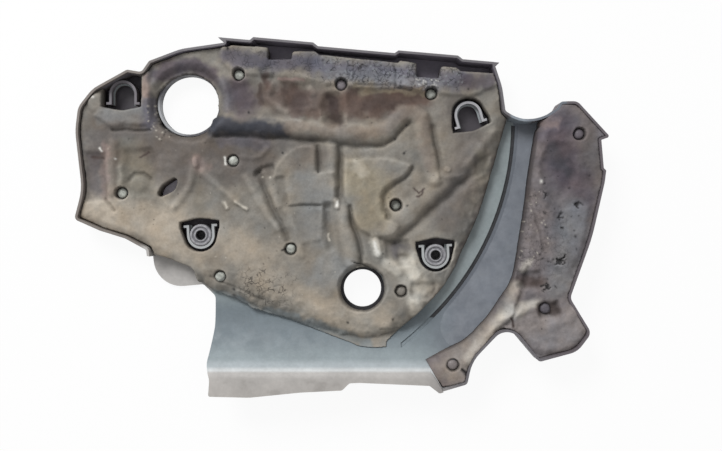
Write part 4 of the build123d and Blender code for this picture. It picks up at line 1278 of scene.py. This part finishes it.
def shellMaterial(plan):
    material, paint = newMaterial("dustyCover")
    split = paint.node("SeparateXYZ")
    paint.put(split.inputs[0], paint.place)
    x, y, z = split.outputs
    facing = paint.node("SeparateXYZ")
    paint.put(facing.inputs[0], paint.node("NewGeometry").outputs["Normal"])
    dust = paint.spread(paint.cloud(*plan["dust"]), 0.3, 0.7)
    scuff = paint.spread(paint.cloud(*plan["scuff"]), 0.35, 0.7)

    def pale(colour, spot):
        centre, radius, soft, tone = plan[spot]
        return paint.toned(paint.disc(centre, radius, soft), colour, tone)

    # the two strips of the channel, then the rim's walls and upper edges
    leftStrip = paint.disc(plan["stepCentre"], *plan["leftStrip"])
    colour = paint.toned(leftStrip, rgba(plan["strips"][0]), plan["strips"][1])
    mainEdge, wingEdge = [paint.fade(z, level, level + plan["edgeFade"]) for level in plan["rimLevels"]]
    edge = paint.mixed(paint.disc(plan["stepCentre"], *plan["mainSide"]), wingEdge, mainEdge)
    wall = paint.spread(paint.calc("ABSOLUTE", facing.outputs[2]), 0.6, 0.4)
    nearStep = paint.minus(*[paint.disc(plan["stepCentre"], *side) for side in plan["stepWall"]])
    rimTone = rgba(plan["rim"])
    for span, tone in (plan["leftRim"], plan["wingRim"]):
        rimTone = paint.toned(paint.fade(x, *span), rimTone, tone)
    rimTone = paint.toned(nearStep, rimTone, plan["channelWall"])
    lineX, lineY, slope, width = plan["rearLine"]
    above = paint.minus(y, paint.times(paint.minus(x, lineX * mm), slope))
    rear = paint.times(paint.fade(above, lineY - width, lineY - width + 5), paint.fade(x, *plan["rearEnd"]))
    colour = paint.toned(rear, colour, plan["rear"])
    colour = paint.mixed(paint.larger(edge, paint.times(wall, paint.minus(1.0, rear))), colour, rimTone)
    onApron = paint.times(paint.fade(y, *plan["apron"][0]), paint.fade(x, *plan["apron"][1]))
    colour = paint.mixed(onApron, colour, apronRamp(paint, z, plan))
    # the slot's floor is lightened to near white as painted light
    colour = pale(pale(colour, "lobe"), "slotLight")
    span, tone = plan["smudge"]
    stains = paint.times(paint.spread(paint.cloud(*plan["stain"]), 0.5, 0.62), paint.fade(y, *span))
    colour = paint.toned(paint.times(stains, 0.7), colour, tone)
    # brackets in their pockets over floors darkened as painted shade, and collars
    low = paint.fade(z, *plan["pocketLevels"])
    risen, ended = plan["bracketLevels"]
    for centre, tone in plan["pockets"]:
        pocket = paint.disc(centre, *plan["pocketReach"])
        colour = paint.toned(paint.times(pocket, low), colour, plan["pocketShade"])
        bracket = paint.times(paint.times(pocket, paint.fade(z, *risen)), paint.fade(z, *ended))
        colour = paint.toned(bracket, colour, tone)
    for centre, radius, level, tone in plan["collars"]:
        collar = paint.times(paint.disc(centre, radius, 0.6), paint.fade(z, level + plan["edgeFade"], level))
        colour = paint.toned(collar, colour, tone)
    # the pale left side of the filler's collar is painted light
    colour = pale(colour, "litCollarSide")
    plain, dusty, scuffed = plan["shade"]
    shade = paint.calc("ADD", paint.times(dust, dusty), paint.times(scuff, scuffed))
    colour = paint.mixed(1.0, colour, paint.calc("ADD", shade, plain), "MULTIPLY")
    # the dark finish of the styled side, with the walls that face away from the middle
    styled = paint.larger(paint.fade(z, *plan["styledLevels"]), paint.spread(facing.outputs[2], -0.1, -0.3))
    middleX, middleY, reach = plan["outward"]
    across = paint.times(paint.minus(x, middleX * mm), facing.outputs[0])
    along = paint.times(paint.minus(y, middleY * mm), facing.outputs[1])
    outward = paint.times(paint.fade(paint.calc("ADD", across, along), *reach), wall)
    inside = paint.larger(nearStep, paint.disc(*plan["fillerWall"]))
    for centre, _ in plan["pockets"]:
        inside = paint.larger(inside, paint.disc(centre, *plan["bracketReach"]))
    styled = paint.larger(styled, paint.times(outward, paint.minus(1.0, inside)))
    satin = paint.toned(scuff, rgba(plan["styled"][0]), plan["styled"][1])
    paint.give("Base Color", paint.mixed(styled, colour, satin))
    paint.give("Roughness", paint.spread(paint.cloud(*plan["gloss"]), 0.3, 0.7, 0.42, 0.68))
    paint.give("Specular IOR Level", 0.4)
    paint.bumped(paint.cloud(*plan["skin"]), 0.08, 0.3)
    return material


shellFinish = shellMaterial(shellPlan)
slots = cadNodes["cover_shell"].data.materials
for slot in range(len(slots)):
    slots[slot] = shellFinish
if len(slots) == 0:
    slots.append(shellFinish)
print("shell finish set")


# white floor that keeps a faint shadow, soft light from the rear left; lengths in m
stagePlan = {"floor": 3.0, "drop": 0.0005, "white": 0.93, "matt": (0.9, 0.9, 0.9, 1), "world": 0.46,
             "key": {"place": (-1.3, 1.9, 1.9), "size": 1.4, "power": 73.0}}


def backdropMix(paint):
    paths = paint.node("LightPath").outputs
    seen = paint.larger(paths["Is Camera Ray"], paths["Is Glossy Ray"])
    return paint.larger(seen, paths["Is Transmission Ray"])


def floorMaterial():
    material = bpy.data.materials.new("paleFloor")
    material.use_nodes = True
    paint = Painter(material.node_tree)
    paint.tree.nodes.remove(paint.tree.nodes["Principled BSDF"])
    matt = paint.node("BsdfDiffuse")
    matt.inputs["Color"].default_value = stagePlan["matt"]
    mix = paint.node("MixShader")
    paint.put(mix.inputs[0], paint.times(backdropMix(paint), stagePlan["white"]))
    paint.put(mix.inputs[1], matt.outputs[0])
    paint.put(mix.inputs[2], paint.node("Emission").outputs[0])
    paint.put(paint.tree.nodes["Material Output"].inputs["Surface"], mix.outputs[0])
    return material


half = stagePlan["floor"]
floorMesh = bpy.data.meshes.new("floor")
floorCorners = [(-half, -half), (half, -half), (half, half), (-half, half)]
floorMesh.from_pydata([(x, y, -stagePlan["drop"]) for x, y in floorCorners], [], [(0, 1, 2, 3)])
floor = linked("floor", floorMesh)
floor.data.materials.append(floorMaterial())

world = bpy.data.worlds.new("softRoom")
scene.world = world
world.use_nodes = True
room = Painter(world.node_tree)
background = world.node_tree.nodes["Background"]
background.inputs["Color"].default_value = (1, 1, 1, 1)
room.put(background.inputs["Strength"], room.spread(backdropMix(room), 0, 1, stagePlan["world"], 1.0))

key = stagePlan["key"]
lamp = bpy.data.lights.new("keyLamp", "AREA")
lamp.shape = "DISK"
lamp.size = key["size"]
lamp.energy = key["power"]
lampObject = linked("keyLamp", lamp)
lampObject.location = key["place"]
lampObject.rotation_euler = (-Vector(key["place"])).to_track_quat("-Z", "Y").to_euler()

eyeX, eyeY, eyeZ = shot["eye"]
view = bpy.data.cameras.new("photoCamera")
view.sensor_width = shot["sensor"]
view.lens = shot["sensor"] * (eyeZ - shot["pixelLevel"]) / (shot["pixels"][0] * shot["pixel"])
viewObject = linked("photoCamera", view)
viewObject.location = (eyeX * mm, eyeY * mm, eyeZ * mm)
scene.camera = viewObject
print("stage and camera set")
